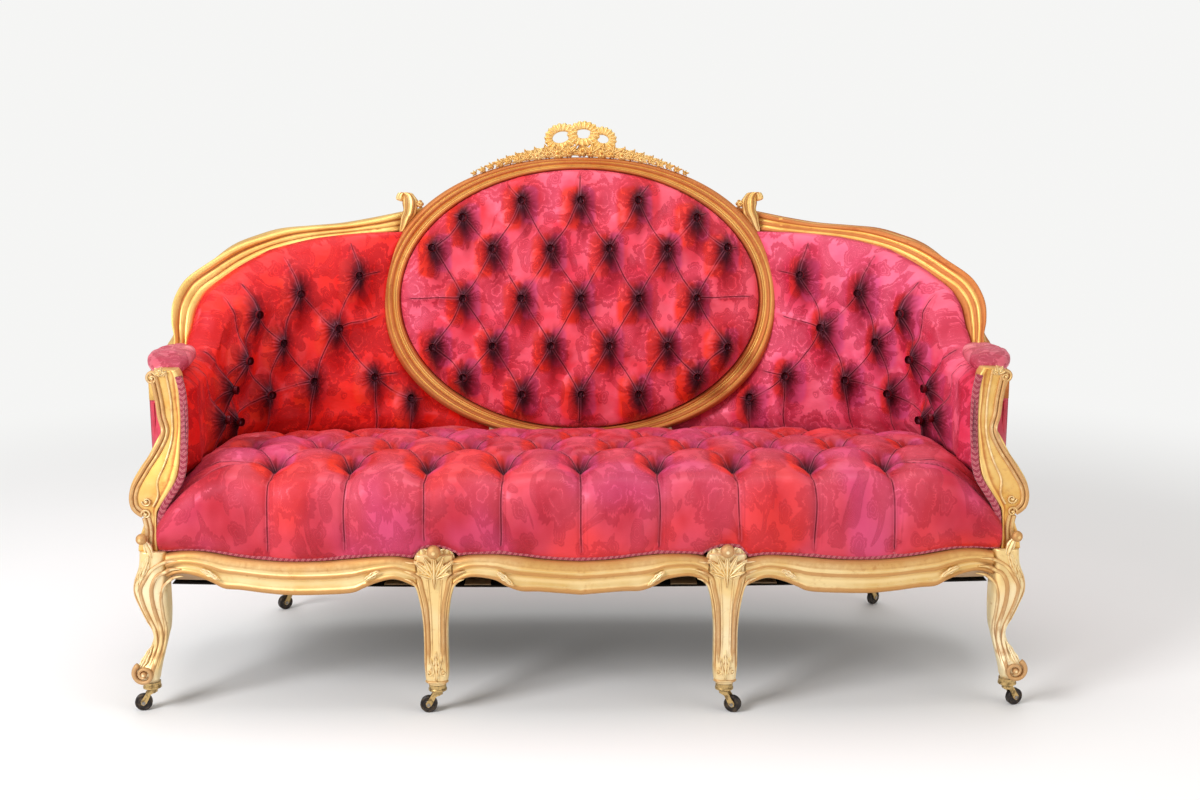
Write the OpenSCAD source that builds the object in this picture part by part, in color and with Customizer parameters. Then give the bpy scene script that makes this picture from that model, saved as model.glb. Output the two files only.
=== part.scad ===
// Cabriole sofa: a carved gilt frame with a sprung, deep-buttoned seat, two wings that sweep round
// from the arms to a raked oval medallion, and six legs on brass swivel castors.
// Millimetres. X runs to the right, Y to the back, Z up, and the wheels stand on Z = 0.

/* [Plan] */
// Half of the width across the wings
half_width = 885; // [840:5:940]
// Depth of the wrap-round back behind the arms, at seat height
back_depth = 305; // [280:5:330]
// Length of the straight arm side in front of the curve
arm_reach = 300; // [280:5:320]
// How far the sides draw in at the front
front_taper = 40; // [25:1:50]
// Front face of the apron at the middle of the sofa
front_reach = 386; // [370:1:400]
// How far the apron's front falls back at the corners
front_bow = 36; // [20:1:45]

/* [Seat frame] */
// Height of the top of the seat rails
rail_top = 330; // [315:1:345]
// Height of a plain seat rail
rail_height = 70; // [60:1:80]
// Thickness of the seat rails
rail_thickness = 38; // [30:1:42]
// Height of the carved apron between its highest and lowest points
apron_height = 84; // [70:1:95]
// Height of the legs' wooden feet above the floor
foot_height = 52; // [50:0.5:56]

/* [Legs] */
// Middle front legs, distance from the sofa's centre line
middle_leg_x = 285; // [260:1:310]
// Width of the block at the top of a middle leg
middle_block = 72; // [64:1:84]
// Width of the shaft of a middle leg
middle_shaft = 47; // [40:1:54]
// How far the corner legs' ankles stand inside the wings
leg_inset = 50; // [40:1:70]
// Width of a corner leg at its knee
knee_width = 68; // [56:1:72]
// Diameter of every leg's foot inside its castor cup
foot_d = 30; // [26:0.5:32]
// How far the rear feet stand outside the seat rail above them
rear_splay = 16.5; // [0:0.5:30]
// How far the rear feet stand behind the seat rail above them
rear_kick = 100; // [75:1:110]

/* [Back] */
// Rake of the back in degrees
rake = 10; // [6:0.5:12]
// Height of the medallion's centre
oval_centre_z = 744; // [734:1:760]
// Distance of the medallion's face behind the middle of the sofa, at its centre
oval_centre_y = 281; // [271:1:291]
// Half of the width of the medallion's opening
oval_half_w = 412; // [390:1:420]
// Half of the height of the medallion's opening
oval_half_h = 297; // [280:1:305]
// Width of the medallion's moulding, seen from the front
oval_band = 41; // [34:1:46]
// Thickness of the medallion frame behind its face
oval_thickness = 40; // [30:1:44]
// Height of the top of the arm rails
arm_top = 660; // [645:1:675]
// Rise of the wing rails from the arms to the medallion
wing_rise = 288; // [270:1:300]
// Depth of the wing rails' section
wing_rail_depth = 32; // [26:1:36]

/* [Upholstery] */
// Height of the seat at its rear edge
seat_rear = 448; // [440:1:452]
// Crown of the seat above its rear edge
seat_crown = 60; // [45:1:70]
// Distance between two seat buttons in a row
seat_pitch = 152; // [140:1:160]
// Distance between two rows of seat buttons
seat_row = 115; // [105:1:122]
// Distance between two medallion buttons in a row
oval_pitch = 130; // [115:1:134]
// Distance between two rows of medallion buttons
oval_row = 107; // [96:1:112]
// Crown of the medallion's cushion
oval_crown = 40; // [25:1:50]
// Crown of the wing cushions
wing_crown = 46; // [30:1:52]
// Depth of the tufts
tuft_depth = 34; // [20:1:38]
// Diameter of a covered button
button_d = 19; // [14:1:22]
// Width of the chevron gimp
gimp_w = 14; // [10:1:16]

/* [Springs and webbing] */
// Diameter of a seat spring at its ends
spring_d = 84; // [70:1:92]
// Width of a webbing strap
web_w = 52; // [45:1:56]
// Thickness of a webbing strap
web_t = 2; // [1.5:0.1:3]

/* [Castors] */
// Diameter of a castor wheel
wheel_d = 34; // [32:0.5:36]
// Width of a castor wheel
wheel_w = 12; // [10:0.5:14]
// Trail of the wheel behind its swivel pin
trail = 18; // [14:0.5:20]
// Diameter of the swivel pin
swivel_pin_d = 8; // [7:0.5:9]
// Diameter of the wheel's axle
axle_d = 5; // [4:0.5:6]
// Radial clearance of everything that turns
run_gap = 0.06; // [0.03:0.01:0.09]

/* [Hidden] */
// Clearance between soft pieces and what they lie against
soft_gap = 0.5;
// Small clearance at a seat between two pieces
seat_gap = 0.3;
// Overrun of every cut
over = 1;
corner_leg_x = half_width - leg_inset;
// First row of seat buttons, behind the front line
seat_front_setback = 120;
// Set-back of the gimp behind the front line
gimp_setback = 12;
// Reach of a tuft around its button
tuft_reach = 36;
// Thickness of the canvas and the dust cover, of the outside-back boards and of a spring's wall
canvas_t = 1.5;
panel_t = 4;
spring_wall = 0.6;
// Exponents of the wrap-round plan and of the medallion's outer outline
plan_power = 2.4;
oval_power = 2.15;
// How much the wings' plan deepens per millimetre of height
flare_share = 0.11;
rake_level = 450;
oval_outer_w = oval_half_w + oval_band;
oval_outer_h = oval_half_h + oval_band * 0.68;
rail_low = rail_top - rail_height;
// Inset of the plain seat rails behind the outside of the wings
rail_inset = 6;
// Foot, slack and gap of the outside panels
panel_low = rail_top + seat_gap;
panel_foot = rail_inset + 3;
panel_drop = 6;
panel_gap = 5;
panel_back = 14;
// Margin between the rails and the spring canvas
canvas_margin = 32;
wing_top = arm_top + wing_rise;
axle_z = wheel_d / 2;
gilt = "#d8b25c";
silk = "#b3234d";
brass = "#8d6b2e";
beech = "#c49a6c";
linen = "#b9a27c";

NODES = ["front_leg_left", "front_leg_right", "middle_leg_left", "middle_leg_right",
    "rear_leg_left", "rear_leg_right", "apron_left", "apron_center", "apron_right",
    "side_rail_left", "side_rail_right", "rear_rail", "seat_cross_rails", "corner_blocks",
    "block_screws", "arm_support_left", "arm_support_right", "wing_rail_left", "wing_rail_right",
    "oval_frame", "oval_posts", "crest_bow", "crest_garland", "ear_scrolls", "seat_cushion",
    "oval_cushion", "wing_cushion_left", "wing_cushion_right", "arm_pad_left", "arm_pad_right",
    "seat_buttons", "oval_buttons", "wing_buttons", "gimp_braid", "seat_webbing", "seat_springs",
    "spring_canvas", "dust_cover", "oval_webbing", "oval_back_panel", "wing_backs", "castor_cups",
    "castor_fork_front_left", "castor_axle_front_left", "castor_wheel_front_left",
    "castor_fork_front_right", "castor_axle_front_right", "castor_wheel_front_right",
    "castor_fork_middle_left", "castor_axle_middle_left", "castor_wheel_middle_left",
    "castor_fork_middle_right", "castor_axle_middle_right", "castor_wheel_middle_right",
    "castor_fork_rear_left", "castor_axle_rear_left", "castor_wheel_rear_left",
    "castor_fork_rear_right", "castor_axle_rear_right", "castor_wheel_rear_right"];

// General shapes

function mix(a, b, t) = a + (b - a) * t;
function signed_power(v, p) = sign(v) * pow(abs(v), p);
// A smooth curve through hand-chosen points; t runs from 0 at the first to 1 at the last.
function curve_at(p, t) =
    let (n = len(p) - 1, s = min(max(t, 0), 1) * n, i = min(floor(s), n - 1), f = s - i,
        a = p[max(i - 1, 0)], b = p[i], c = p[i + 1], d = p[min(i + 2, n)])
    0.5 * (2 * b + (c - a) * f + (2 * a - 5 * b + 4 * c - d) * f * f + (3 * b - a - 3 * c + d) * f * f * f);
function curve(p, steps) = [for (i = [0 : steps]) curve_at(p, i / steps)];
// A rounded rectangle of n points with half sizes w and d.
function rounded(w, d, n, power = 3) =
    [for (j = [0 : n - 1]) let (a = (j + 0.5) * 360 / n)
        [w * signed_power(cos(a), 2 / power), d * signed_power(sin(a), 2 / power)]];

// Six times the volume inside the faces, negative where they turn clockwise seen from outside.
function turning(points, faces) =
    let (parts = [for (f = faces, k = [1 : len(f) - 2]) points[f[0]] * cross(points[f[k]], points[f[k + 1]])])
    parts * [for (v = parts) 1];
module closed_solid(points, faces) {
    inward = turning(points, faces) > 0;
    turned = [for (f = faces) [for (k = [len(f) - 1 : -1 : 0]) f[k]]];
    polyhedron(points, inward ? turned : faces, convexity = 8);
}

// A solid through rings of equal length; every ring turns the same way. Where the form is symmetric, its
// first half is split into triangles the other way round.
module loft(rings, looped = false, symmetric = false) {
    n = len(rings[0]);
    m = len(rings);
    side = [for (i = [0 : m - (looped ? 1 : 2)], j = [0 : n - 1])
        let (a = i * n + j, b = i * n + (j + 1) % n,
            c = ((i + 1) % m) * n + j, d = ((i + 1) % m) * n + (j + 1) % n)
        each symmetric && i < (m - 1) / 2 ? [[a, c, b], [c, d, b]] : [[a, d, b], [a, c, d]]];
    caps = looped ? [] : [[for (j = [0 : n - 1]) j], [for (j = [n - 1 : -1 : 0]) (m - 1) * n + j]];
    closed_solid([for (r = rings) each r], concat(side, caps));
}

// A padded solid through rings that are not flat: each ring has front_steps intervals on the face and
// front_steps / ratio on the back, and its two ends are stitched from face to back.
module quilt(rings, front_steps, ratio) {
    n = len(rings[0]);
    m = len(rings);
    side = [for (i = [0 : m - 2], j = [0 : n - 1])
        let (a = i * n + j, b = i * n + (j + 1) % n, c = (i + 1) * n + j, d = (i + 1) * n + (j + 1) % n)
        each [[a, d, b], [a, c, d]]];
    function cap(base) = [for (k = [0 : front_steps / ratio - 1])
        let (b0 = base + n - 1 - k, b1 = b0 - 1, f = base + k * ratio)
        each [for (r = [0 : ratio - 1]) [b0, f + r, f + r + 1], [b0, f + ratio, b1]]];
    function turned(list) = [for (f = list) [f[2], f[1], f[0]]];
    closed_solid([for (r = rings) each r], concat(side, cap(0), turned(cap((m - 1) * n))));
}

module both_sides() {
    children();
    mirror([1, 0, 0]) children();
}

// The wrap-round plan

function plan_b(z) = back_depth + flare_share * (z - rake_level);
// A point of the wrap-round surface: t is -1 at the front of the arm, 0 where the curve starts and
// 1 at the centre of the back; inset goes inwards.
function plan_point(t, z, inset) =
    let (a = half_width - inset, b = plan_b(z) - inset)
    t < 0 ? [a - front_taper * t * t, arm_reach * t, z]
        : [a * pow(cos(90 * t), 2 / plan_power), b * pow(sin(90 * t), 2 / plan_power), z];
function plan_t(x, inset) = acos(pow(min(x / (half_width - inset), 1), plan_power / 2)) / 90;
function side_x(y, inset) =
    y < 0 ? half_width - inset - front_taper * pow(y / arm_reach, 2) : half_width - inset;
// The front line of the aprons.
function front_y(x) = -front_reach + front_bow * pow(x / half_width, 2);

// The medallion's own plane: x, distance s up the slope and distance d in front of its face.
function on_oval(x, s, d) =
    [x, oval_centre_y + s * sin(rake) - d * cos(rake), oval_centre_z + s * cos(rake) + d * sin(rake)];
module on_back() {
    translate([0, oval_centre_y, oval_centre_z]) rotate([90 - rake, 0, 0]) children();
}
function oval_point(a, grow) =
    [(oval_outer_w + grow) * signed_power(cos(a), 2 / oval_power),
     (oval_outer_h + grow) * signed_power(sin(a), 2 / oval_power)];
function oval_x(s, grow) =
    let (up = min(abs(s) / (oval_outer_h + grow), 1))
    (oval_outer_w + grow) * pow(max(1 - pow(up, oval_power), 0), 1 / oval_power);
// Depth at which the wings meet the medallion, as a share of the plan's depth at the centre line
meet_share = 0.93;
// Half width of the medallion at height z, where a wing surface with this inset meets it.
function meet_x(z, inset, grow) =
    let (y = (plan_b(z) - inset) * meet_share)
    oval_x((y - oval_centre_y) * sin(rake) + (z - oval_centre_z) * cos(rake), grow);

// The seat's edge line

corner_inner = corner_leg_x - knee_width * 0.34;
bay_start = middle_leg_x + middle_block / 2;
bay_length = corner_inner - bay_start;
centre_length = middle_leg_x - middle_block / 2;
// Share of the bay's length, then the drop of the top and of the bottom as shares of the apron's height.
bay_shares = [[0, 0.14, 0.79], [0.08, 0.06, 0.60], [0.15, 0.07, 0.67], [0.21, 0.10, 0.82], [0.26, 0.13, 0.94],
    [0.37, 0.19, 0.99], [0.50, 0.21, 1.01], [0.60, 0.19, 0.97], [0.70, 0.13, 0.90], [0.77, 0.07, 0.87],
    [0.82, 0.02, 0.72], [0.88, -0.02, 0.58], [0.94, -0.01, 0.52], [1, 0.05, 0.61]];
centre_shares = [[0, 0.17, 0.97], [0.16, 0.15, 0.93], [0.33, 0.11, 0.89], [0.47, 0.05, 0.88],
    [0.58, 0.02, 0.76], [0.68, 0, 0.60], [0.84, 0.01, 0.53], [0.93, 0.05, 0.60], [1, 0.12, 0.77]];
function apron_row(start, length, row) =
    [start + length * row[0], rail_top - apron_height * row[1], rail_top - apron_height * row[2]];
bay_steps = 22;
centre_steps = 12;
bay_rows = curve([for (row = bay_shares) apron_row(bay_start, bay_length, row)], bay_steps);
centre_rows = curve([for (row = centre_shares) apron_row(0, centre_length, row)], centre_steps);
palmette_rise = 14;
// The line that the seat cover and the gimp follow, over the aprons and the tops of the legs.
edge_line = concat(
    [for (row = centre_rows) [row[0], row[1]]],
    [[centre_length + seat_gap, rail_top],
     [middle_leg_x - middle_block * 0.25, rail_top + palmette_rise * 0.6],
     [middle_leg_x, rail_top + palmette_rise],
     [middle_leg_x + middle_block * 0.25, rail_top + palmette_rise * 0.6]],
    [for (i = [0 : len(bay_rows) - 2]) [bay_rows[i][0], bay_rows[i][1]]],
    [[corner_inner - seat_gap, rail_top], [half_width, rail_top]]);
function edge_z(x) = lookup(abs(x), edge_line);
// Highest point of that line within a reach of x, for pieces with coarser steps.
function edge_over(x, reach) = max([for (k = [-2 : 2]) edge_z(x + reach * k / 2)]) + seat_gap;

// Legs

leg_height = rail_top - foot_height;
// Up to this share of its height a leg is round, inside the castor's cup
foot_share = 0.045;
// Share of the height, shift outwards and half width as shares of the knee's width.
corner_shares = [[0, 0.31, 0.215], [0.035, 0.31, 0.218], [0.06, 0.36, 0.30], [0.10, 0.40, 0.37],
    [0.14, 0.36, 0.365], [0.18, 0.27, 0.31], [0.24, 0.15, 0.25], [0.30, 0.06, 0.22], [0.36, 0, 0.22],
    [0.43, 0, 0.29], [0.54, 0.06, 0.39], [0.64, 0.12, 0.46], [0.73, 0.16, 0.50], [0.80, 0.14, 0.48],
    [0.89, 0.08, 0.42], [1, 0.06, 0.40]];
leg_steps = 21;
// Points around a leg or an arm support
leg_sides = 12;
corner_leg_y = front_y(corner_leg_x) + knee_width * 0.40;
// How far a corner leg comes forwards, as a share of how far it comes outwards
corner_turn_share = 0.55;
module corner_leg() {
    rings = [for (row = curve(corner_shares, leg_steps))
        let (half = knee_width * row[2], x = corner_leg_x + knee_width * row[1],
            y = corner_leg_y - knee_width * row[1] * corner_turn_share, z = foot_height + leg_height * row[0])
        [for (p = rounded(half, half, leg_sides, row[0] < foot_share ? 2 : 3)) [x + p[0], y + p[1], z]]];
    loft(rings);
}

// Share of the height and half width as a share of the shaft's width.
middle_shares = [[0, 0.31], [0.035, 0.315], [0.05, 0.44], [0.12, 0.50], [0.25, 0.50], [0.46, 0.51],
    [0.60, 0.58], [0.68, 0.66], [0.745, 0.766], [0.76, 0.766], [0.9, 0.766], [1, 0.766]];
// Half of the shaft's width, and half of the block's, as shares of the shaft's width
shaft_share = 0.51;
shaft_block_share = 0.766;
middle_leg_y = front_y(middle_leg_x) + middle_shaft / 2;
module middle_leg() {
    block_share = middle_block / 2 / (middle_shaft * shaft_block_share);
    rings = [for (row = middle_shares)
        let (flare = max(row[1] - shaft_share, 0) / (shaft_block_share - shaft_share),
            half = middle_shaft * row[1] * mix(1, block_share, flare),
            deep = middle_shaft * min(row[1], shaft_share))
        [for (p = rounded(half, deep, leg_sides, row[0] < foot_share ? 2 : mix(3.4, 9, flare)))
            [middle_leg_x + p[0], middle_leg_y + p[1], foot_height + leg_height * row[0]]]];
    union() {
        loft(rings);
        palmette();
    }
}

// The shell carved on a middle leg's block: five lobes that fan out from one root.
lobe_count = 5;
lobe_d = 13;
lobe_turn = 22;
module palmette() {
    root_z = rail_top - middle_block * 0.55;
    for (i = [0 : lobe_count - 1]) {
        a = (i - (lobe_count - 1) / 2) * lobe_turn;
        reach = middle_block * (0.62 - 0.0011 * abs(a));
        translate([middle_leg_x, middle_leg_y - middle_shaft * 0.47, root_z]) rotate([0, a, 0])
            translate([0, 0, reach]) sphere(d = lobe_d, $fn = 8);
    }
}

rear_leg_t_share = 0.47;
stile_half = 7;
stile_gap = 3.5;
stile_top = arm_top + wing_rise * 0.66;
rear_base = plan_point(rear_leg_t_share, rail_top, rail_thickness / 2);
rear_foot = [rear_base[0] + rear_splay, rear_base[1] + rear_kick];
function stile_centre(z) =
    let (inset = panel_inset(rear_leg_t_share, z) + panel_t + stile_half + stile_gap,
        p = plan_point(rear_leg_t_share, z, inset))
    [p[0], p[1]];
// Height, centre, half thickness and half width of each ring of a rear leg and its stile.
stile_rows =
    let (block = rail_thickness / 2, foot = foot_d * 0.49, b = [rear_base[0], rear_base[1]],
        f = rear_foot, middle = mix(seat_rear, wing_top, 0.5))
    [[foot_height, f, foot, foot], [foot_height + foot_d * 0.3, f - [0, foot_d * 0.05], foot, foot],
     [mix(foot_height, rail_low, 0.4), [mix(f[0], b[0], 0.5), mix(f[1], b[1], 0.52)],
         foot * 1.1, foot * 1.15],
     [mix(foot_height, rail_low, 0.75), [mix(f[0], b[0], 0.9), mix(f[1], b[1], 0.88)], block * 0.95, block],
     [rail_low, b, block, block], [rail_top, b, block, block],
     [rail_top + seat_gap, stile_centre(rail_top), stile_half, block],
     [seat_rear, stile_centre(seat_rear), stile_half, block],
     [middle, stile_centre(middle), stile_half, block],
     [stile_top, stile_centre(stile_top), stile_half, block]];
module rear_leg() {
    next = plan_point(rear_leg_t_share + 0.02, rail_top, rail_thickness / 2);
    along = (next - rear_base) / norm(next - rear_base);
    out = [along[1], -along[0]];
    loft([for (row = stile_rows) [for (p = rounded(row[3], row[2], 8, row[0] < foot_height + foot_d ? 2 : 5))
        [row[1][0] + along[0] * p[0] + out[0] * p[1], row[1][1] + along[1] * p[0] + out[1] * p[1], row[0]]]]);
}

// Seat frame

// The apron's profile: distance in front of its face line and height share from the bottom, both sides.
apron_profile_shares = [[-1, 0], [-0.20, 0], [0, 0.10], [0.05, 0.26], [-0.08, 0.38], [0.06, 0.50],
    [0.08, 0.70], [-0.06, 0.82], [-0.12, 1], [-1, 1]];
function apron_ring(row) =
    [for (p = apron_profile_shares)
        [row[0], front_y(row[0]) - rail_thickness * p[0], mix(row[2], row[1], p[1])]];
module bay_apron() {
    loft([for (row = bay_rows) apron_ring(row)]);
}
module centre_apron() {
    left = [for (i = [len(centre_rows) - 1 : -1 : 1]) let (r = centre_rows[i]) [-r[0], r[1], r[2]]];
    loft([for (row = concat(left, centre_rows)) apron_ring(row)]);
}

function rail_ring(t) =
    let (o = plan_point(t, rail_top, rail_inset), i = plan_point(t, rail_top, rail_inset + rail_thickness))
    [[o[0], o[1], rail_low], [i[0], i[1], rail_low], [i[0], i[1], rail_top], [o[0], o[1], rail_top]];
side_rail_start_share = (corner_leg_y + knee_width * 0.40 + seat_gap) / arm_reach;
rear_turn_share = rear_leg_t_share - 0.045;
module side_rail() {
    steps = 14;
    loft([for (i = [0 : steps]) rail_ring(mix(side_rail_start_share, rear_turn_share, i / steps))]);
}
module back_rail() {
    steps = 9;
    half = [for (i = [0 : steps]) rail_ring(mix(rear_leg_t_share + 0.037, 1, i / steps))];
    left = [for (i = [0 : steps - 1]) [for (p = half[i]) [-p[0], p[1], p[2]]]];
    right = [for (i = [steps : -1 : 0]) half[i]];
    loft(concat(left, right));
}
cross_w = 44;
cross_low = rail_low + web_t * 2;
cross_front = middle_leg_y + middle_shaft * shaft_share + seat_gap;
// Space between the top of the cross rails and the top of the seat rails
springs_free = 22;
// Front face of the rear rail.
function rear_rail_y(x) =
    let (w = rail_inset + rail_thickness)
    (plan_b(rail_top) - w) * pow(1 - pow(min(abs(x) / (half_width - w), 1), plan_power), 1 / plan_power);
module cross_rail() {
    back = rear_rail_y(middle_leg_x + cross_w / 2) - seat_gap;
    translate([middle_leg_x - cross_w / 2, cross_front, cross_low])
        cube([cross_w, back - cross_front, rail_top - cross_low - springs_free]);
}

// Corner blocks fill the two front corners of the seat frame, each with two screws.
block_h = 40;
block_reach = 106;
// Length of the block along the side rail
block_side = 84;
screw_d = 6;
// Length of its screws as a share of the block's depth
screw_share = 0.88;
block_screw_shares = [0.28, 0.72];
block_z = rail_low + web_t * 2;
block_outline =
    let (g = seat_gap * 1.5, x0 = corner_inner - block_reach, x1 = corner_inner - g,
        y1 = arm_reach * side_rail_start_share - g, y2 = y1 + block_side,
        inset = rail_inset + rail_thickness + g)
    [[x0, front_y(x0) + rail_thickness + g], [x1, front_y(x1) + rail_thickness + g], [x1, y1],
     [side_x(y1, inset), y1], [side_x(y2, inset), y2]];
module on_block_screws() {
    a = block_outline[0];
    b = block_outline[4];
    for (share = block_screw_shares)
        translate([(a[0] + b[0]) / 2, (a[1] + b[1]) / 2, block_z + block_h * share])
            rotate([90, 0, atan2(b[1] - a[1], b[0] - a[0])]) children();
}
module front_block() {
    difference() {
        translate([0, 0, block_z]) linear_extrude(block_h) polygon(block_outline);
        on_block_screws() translate([0, 0, -block_h]) cylinder(d = screw_d, h = block_h * 3, $fn = 32);
    }
}
module block_screw() {
    slope = block_outline[4] - block_outline[0];
    depth = cross(block_outline[3] - block_outline[0], slope) / norm(slope);
    screw_l = depth * screw_share;
    head_h = screw_d * 0.5;
    shank_d = screw_d - run_gap * 2;
    union() {
        cylinder(d = shank_d, h = screw_l, $fn = 32);
        translate([0, 0, -head_h - seat_gap]) cylinder(d = screw_d * 1.8, h = head_h, $fn = 32);
        translate([0, 0, -seat_gap - over]) cylinder(d = shank_d, h = over * 2, $fn = 32);
    }
}

// Arms and wings

// Height share of the arm, inner and outer edge as shares of the knee's width from the leg's ankle line,
// and the setback of the centre as a share of the arm's reach.
arm_shares = [[0, -0.09, 0.48, 0], [0.07, -0.09, 0.43, 0], [0.14, -0.10, 0.30, 0], [0.19, -0.11, 0.26, 0],
    [0.23, -0.14, 0.42, 0.005], [0.26, -0.24, 0.60, 0.01], [0.31, -0.42, 0.68, 0.02],
    [0.38, -0.64, 0.62, 0.04], [0.46, -0.74, 0.40, 0.07], [0.53, -0.77, 0.16, 0.10],
    [0.60, -0.78, -0.02, 0.125], [0.68, -0.78, -0.23, 0.15], [0.75, -0.78, -0.20, 0.165],
    [0.83, -0.76, -0.06, 0.18], [0.92, -0.75, 0.10, 0.19], [0.97, -0.72, 0.12, 0.195], [1, -0.62, 0.02, 0.20]];
arm_steps = 24;
arm_base = rail_top + seat_gap;
// Height of the scroll's top above the arm rail
arm_crest = 18;
arm_height = arm_top + arm_crest - arm_base;
arm_depth = 44;
arm_base_y = corner_leg_y + arm_depth * 0.07;
function arm_ring(row) =
    let (low = corner_leg_x + knee_width * row[1], high = corner_leg_x + knee_width * row[2],
        w = (high - low) / 2, x = (low + high) / 2, y = arm_base_y + arm_reach * row[3],
        z = arm_base + arm_height * row[0])
    [for (p = rounded(w, arm_depth / 2, leg_sides, 3.5)) [x + p[0], y + p[1], z]];
module arm_support() {
    loft([for (row = curve(arm_shares, arm_steps)) arm_ring(row)]);
}
arm_back_y = arm_base_y + arm_reach * arm_shares[len(arm_shares) - 1][3] + arm_depth / 2;
arm_front_t = (arm_back_y + soft_gap * 2) / arm_reach;

// The wing rail: for each station t, height share and inset share of the outer edge, then of the inner
// edge, and how far the section is turned from square outwards (0) to straight back (1).
wing_shares = [
    [arm_front_t, 0, 1.05, arm_front_t, -0.17, 1.05, 0], [-0.55, 0, 1.05, -0.55, -0.17, 1.05, 0],
    [-0.25, 0, 1.0, -0.25, -0.17, 1.05, 0],
    [-0.06, 0.03, 0.8, -0.02, -0.13, 1.1, 0.35], [0.02, 0.12, 0.5, 0.06, -0.02, 1.15, 0.75],
    [0.045, 0.24, 0.2, 0.095, 0.16, 1.2, 0.95], [0.075, 0.375, 0.1, 0.13, 0.305, 1.2, 1],
    [0.14, 0.52, 0.25, 0.19, 0.41, 1.15, 0.9], [0.244, 0.64, 0.5, 0.28, 0.50, 1.0, 0.6],
    [0.345, 0.75, 0.5, 0.365, 0.60, 0.8, 0.3], [0.43, 0.81, 0.3, 0.45, 0.69, 0.6, 0.1],
    [0.50, 0.855, 0.15, 0.52, 0.735, 0.5, 0], [0.567, 0.87, 0.1, 0.58, 0.77, 0.4, 0],
    [0.636, 0.885, 0, 0.64, 0.79, 0.4, 0], [0.70, 0.925, 0, 0.69, 0.80, 0.4, 0]];
function wing_z(share) = arm_top + wing_rise * share;
function out_of(t, z) =
    let (p = plan_point(t, z, 0), q = plan_point(t, z, over)) (p - q) / norm(p - q);
function along_of(t, z) =
    let (step = 0.01, p = plan_point(t, z, 0), q = plan_point(t + step, z, 0)) (q - p) / norm(q - p);
function wing_ring(row) =
    let (outer = plan_point(row[0], wing_z(row[1]), wing_rail_depth * row[2]),
        inner = plan_point(row[3], wing_z(row[4]), wing_rail_depth * row[5]),
        z = outer[2], a = 90 * row[6],
        push = wing_rail_depth * (cos(a) * out_of(row[0], z) + sin(a) * along_of(row[0], z)),
        across = inner - outer, front = push / norm(push) * -rail_relief)
    rail_section(outer, inner, across, front, push);
// Relief of the two beads along the wing rails
rail_relief = 5;
function rail_section(outer, inner, across, front, push) =
    [outer, outer + across * 0.16 + front, outer + across * 0.34 + front * 0.4,
     outer + across * 0.62 + front * 0.8, outer + across * 0.85 + front * 0.6,
     inner, inner + push, outer + push];
// The last ring lies along the medallion's edge.
rail_end_gap = 3;
function wing_end_ring() =
    let (rows = [[wing_z(1.0), 0], [wing_z(0.81), 0.4]],
        ends = [for (r = rows) let (inset = wing_rail_depth * r[1])
            plan_point(plan_t(meet_x(r[0], 0, rail_end_gap), inset), r[0], inset)])
    rail_section(ends[0], ends[1], ends[1] - ends[0], [0, -rail_relief, 0], [0, wing_rail_depth, 0]);
wing_steps = 30;
module wing_rail() {
    loft(concat([for (row = curve(wing_shares, wing_steps)) wing_ring(row)], [wing_end_ring()]));
}

// Lower edge of the wing rail against t, from the same table.
under_rail = 4;
cushion_top_line = concat([[-1, arm_top - under_rail], [0, arm_top - under_rail]],
    [for (i = [5 : len(wing_shares) - 1]) [wing_shares[i][3], wing_z(wing_shares[i][4]) - under_rail]],
    [[1, wing_z(0.81) - under_rail]]);
// Back of the wing cushion, inwards from the wrap-round surface.
cushion_inset_line = [[-1, 1.25], [0.06, 1.3], [0.13, 1.35], [0.19, 1.3], [0.28, 1.15], [0.365, 0.95],
    [0.45, 0.75], [0.52, 0.62], [1, 0.55]];
function cushion_inset(t) = wing_rail_depth * lookup(t, cushion_inset_line);
wing_lift = 5;
wing_bottom = seat_rear + wing_lift;
wing_front_steps = 18;
wing_back_ratio = 3;
wing_columns = 26;
cushion_edge = 9;
// Shares of the columns along the straight arm, in the cushions and in the outside panels
arm_columns = 0.28;
function wing_t(u, finish) =
    u < arm_columns ? mix(arm_front_t, 0, u / arm_columns)
        : mix(0, finish, (u - arm_columns) / (1 - arm_columns));
// Place of each wing button: t, its height as a share of the wing's rise above the seat, and its rest.
wing_button_shares = [[0.62, 0.71, 0.54], [0.46, 0.65, 1.63], [0.29, 0.57, 1.82], [0.56, 0.48, 1.48],
    [0.4, 0.43, 1.92], [0.22, 0.38, 1.86], [0.65, 0.25, 0.48], [0.5, 0.25, 1.46], [0.34, 0.21, 1.55],
    [0.73, 0.13, 0.36], [0.12, 0.12, 1.96], [0.05, 0.27, 1.43], [-0.22, 0.17, 3.38]];
function wing_button_z(share) = seat_rear + (wing_top - seat_rear) * share;
function near_pit(t, z, p) =
    let (du = (t - p[0]) * (half_width + back_depth) * 0.72, dz = z - wing_button_z(p[1]))
    exp(-(du * du + dz * dz) / (tuft_reach * tuft_reach));
// Height of the wing's face in front of its back; v is the share of the height.
function wing_face(u, v, t, z) =
    let (round_u = pow(min(1, 9 * u, 7 * (1 - u)), 0.5),
        round_v = pow(min(1, 6 * v + 0.25, 6 * (1 - v)), 0.5),
        pit = max([for (p = wing_button_shares) near_pit(t, z, p)]))
    cushion_edge + wing_crown * round_u * round_v - tuft_depth * pit * round_u * round_v;
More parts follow.
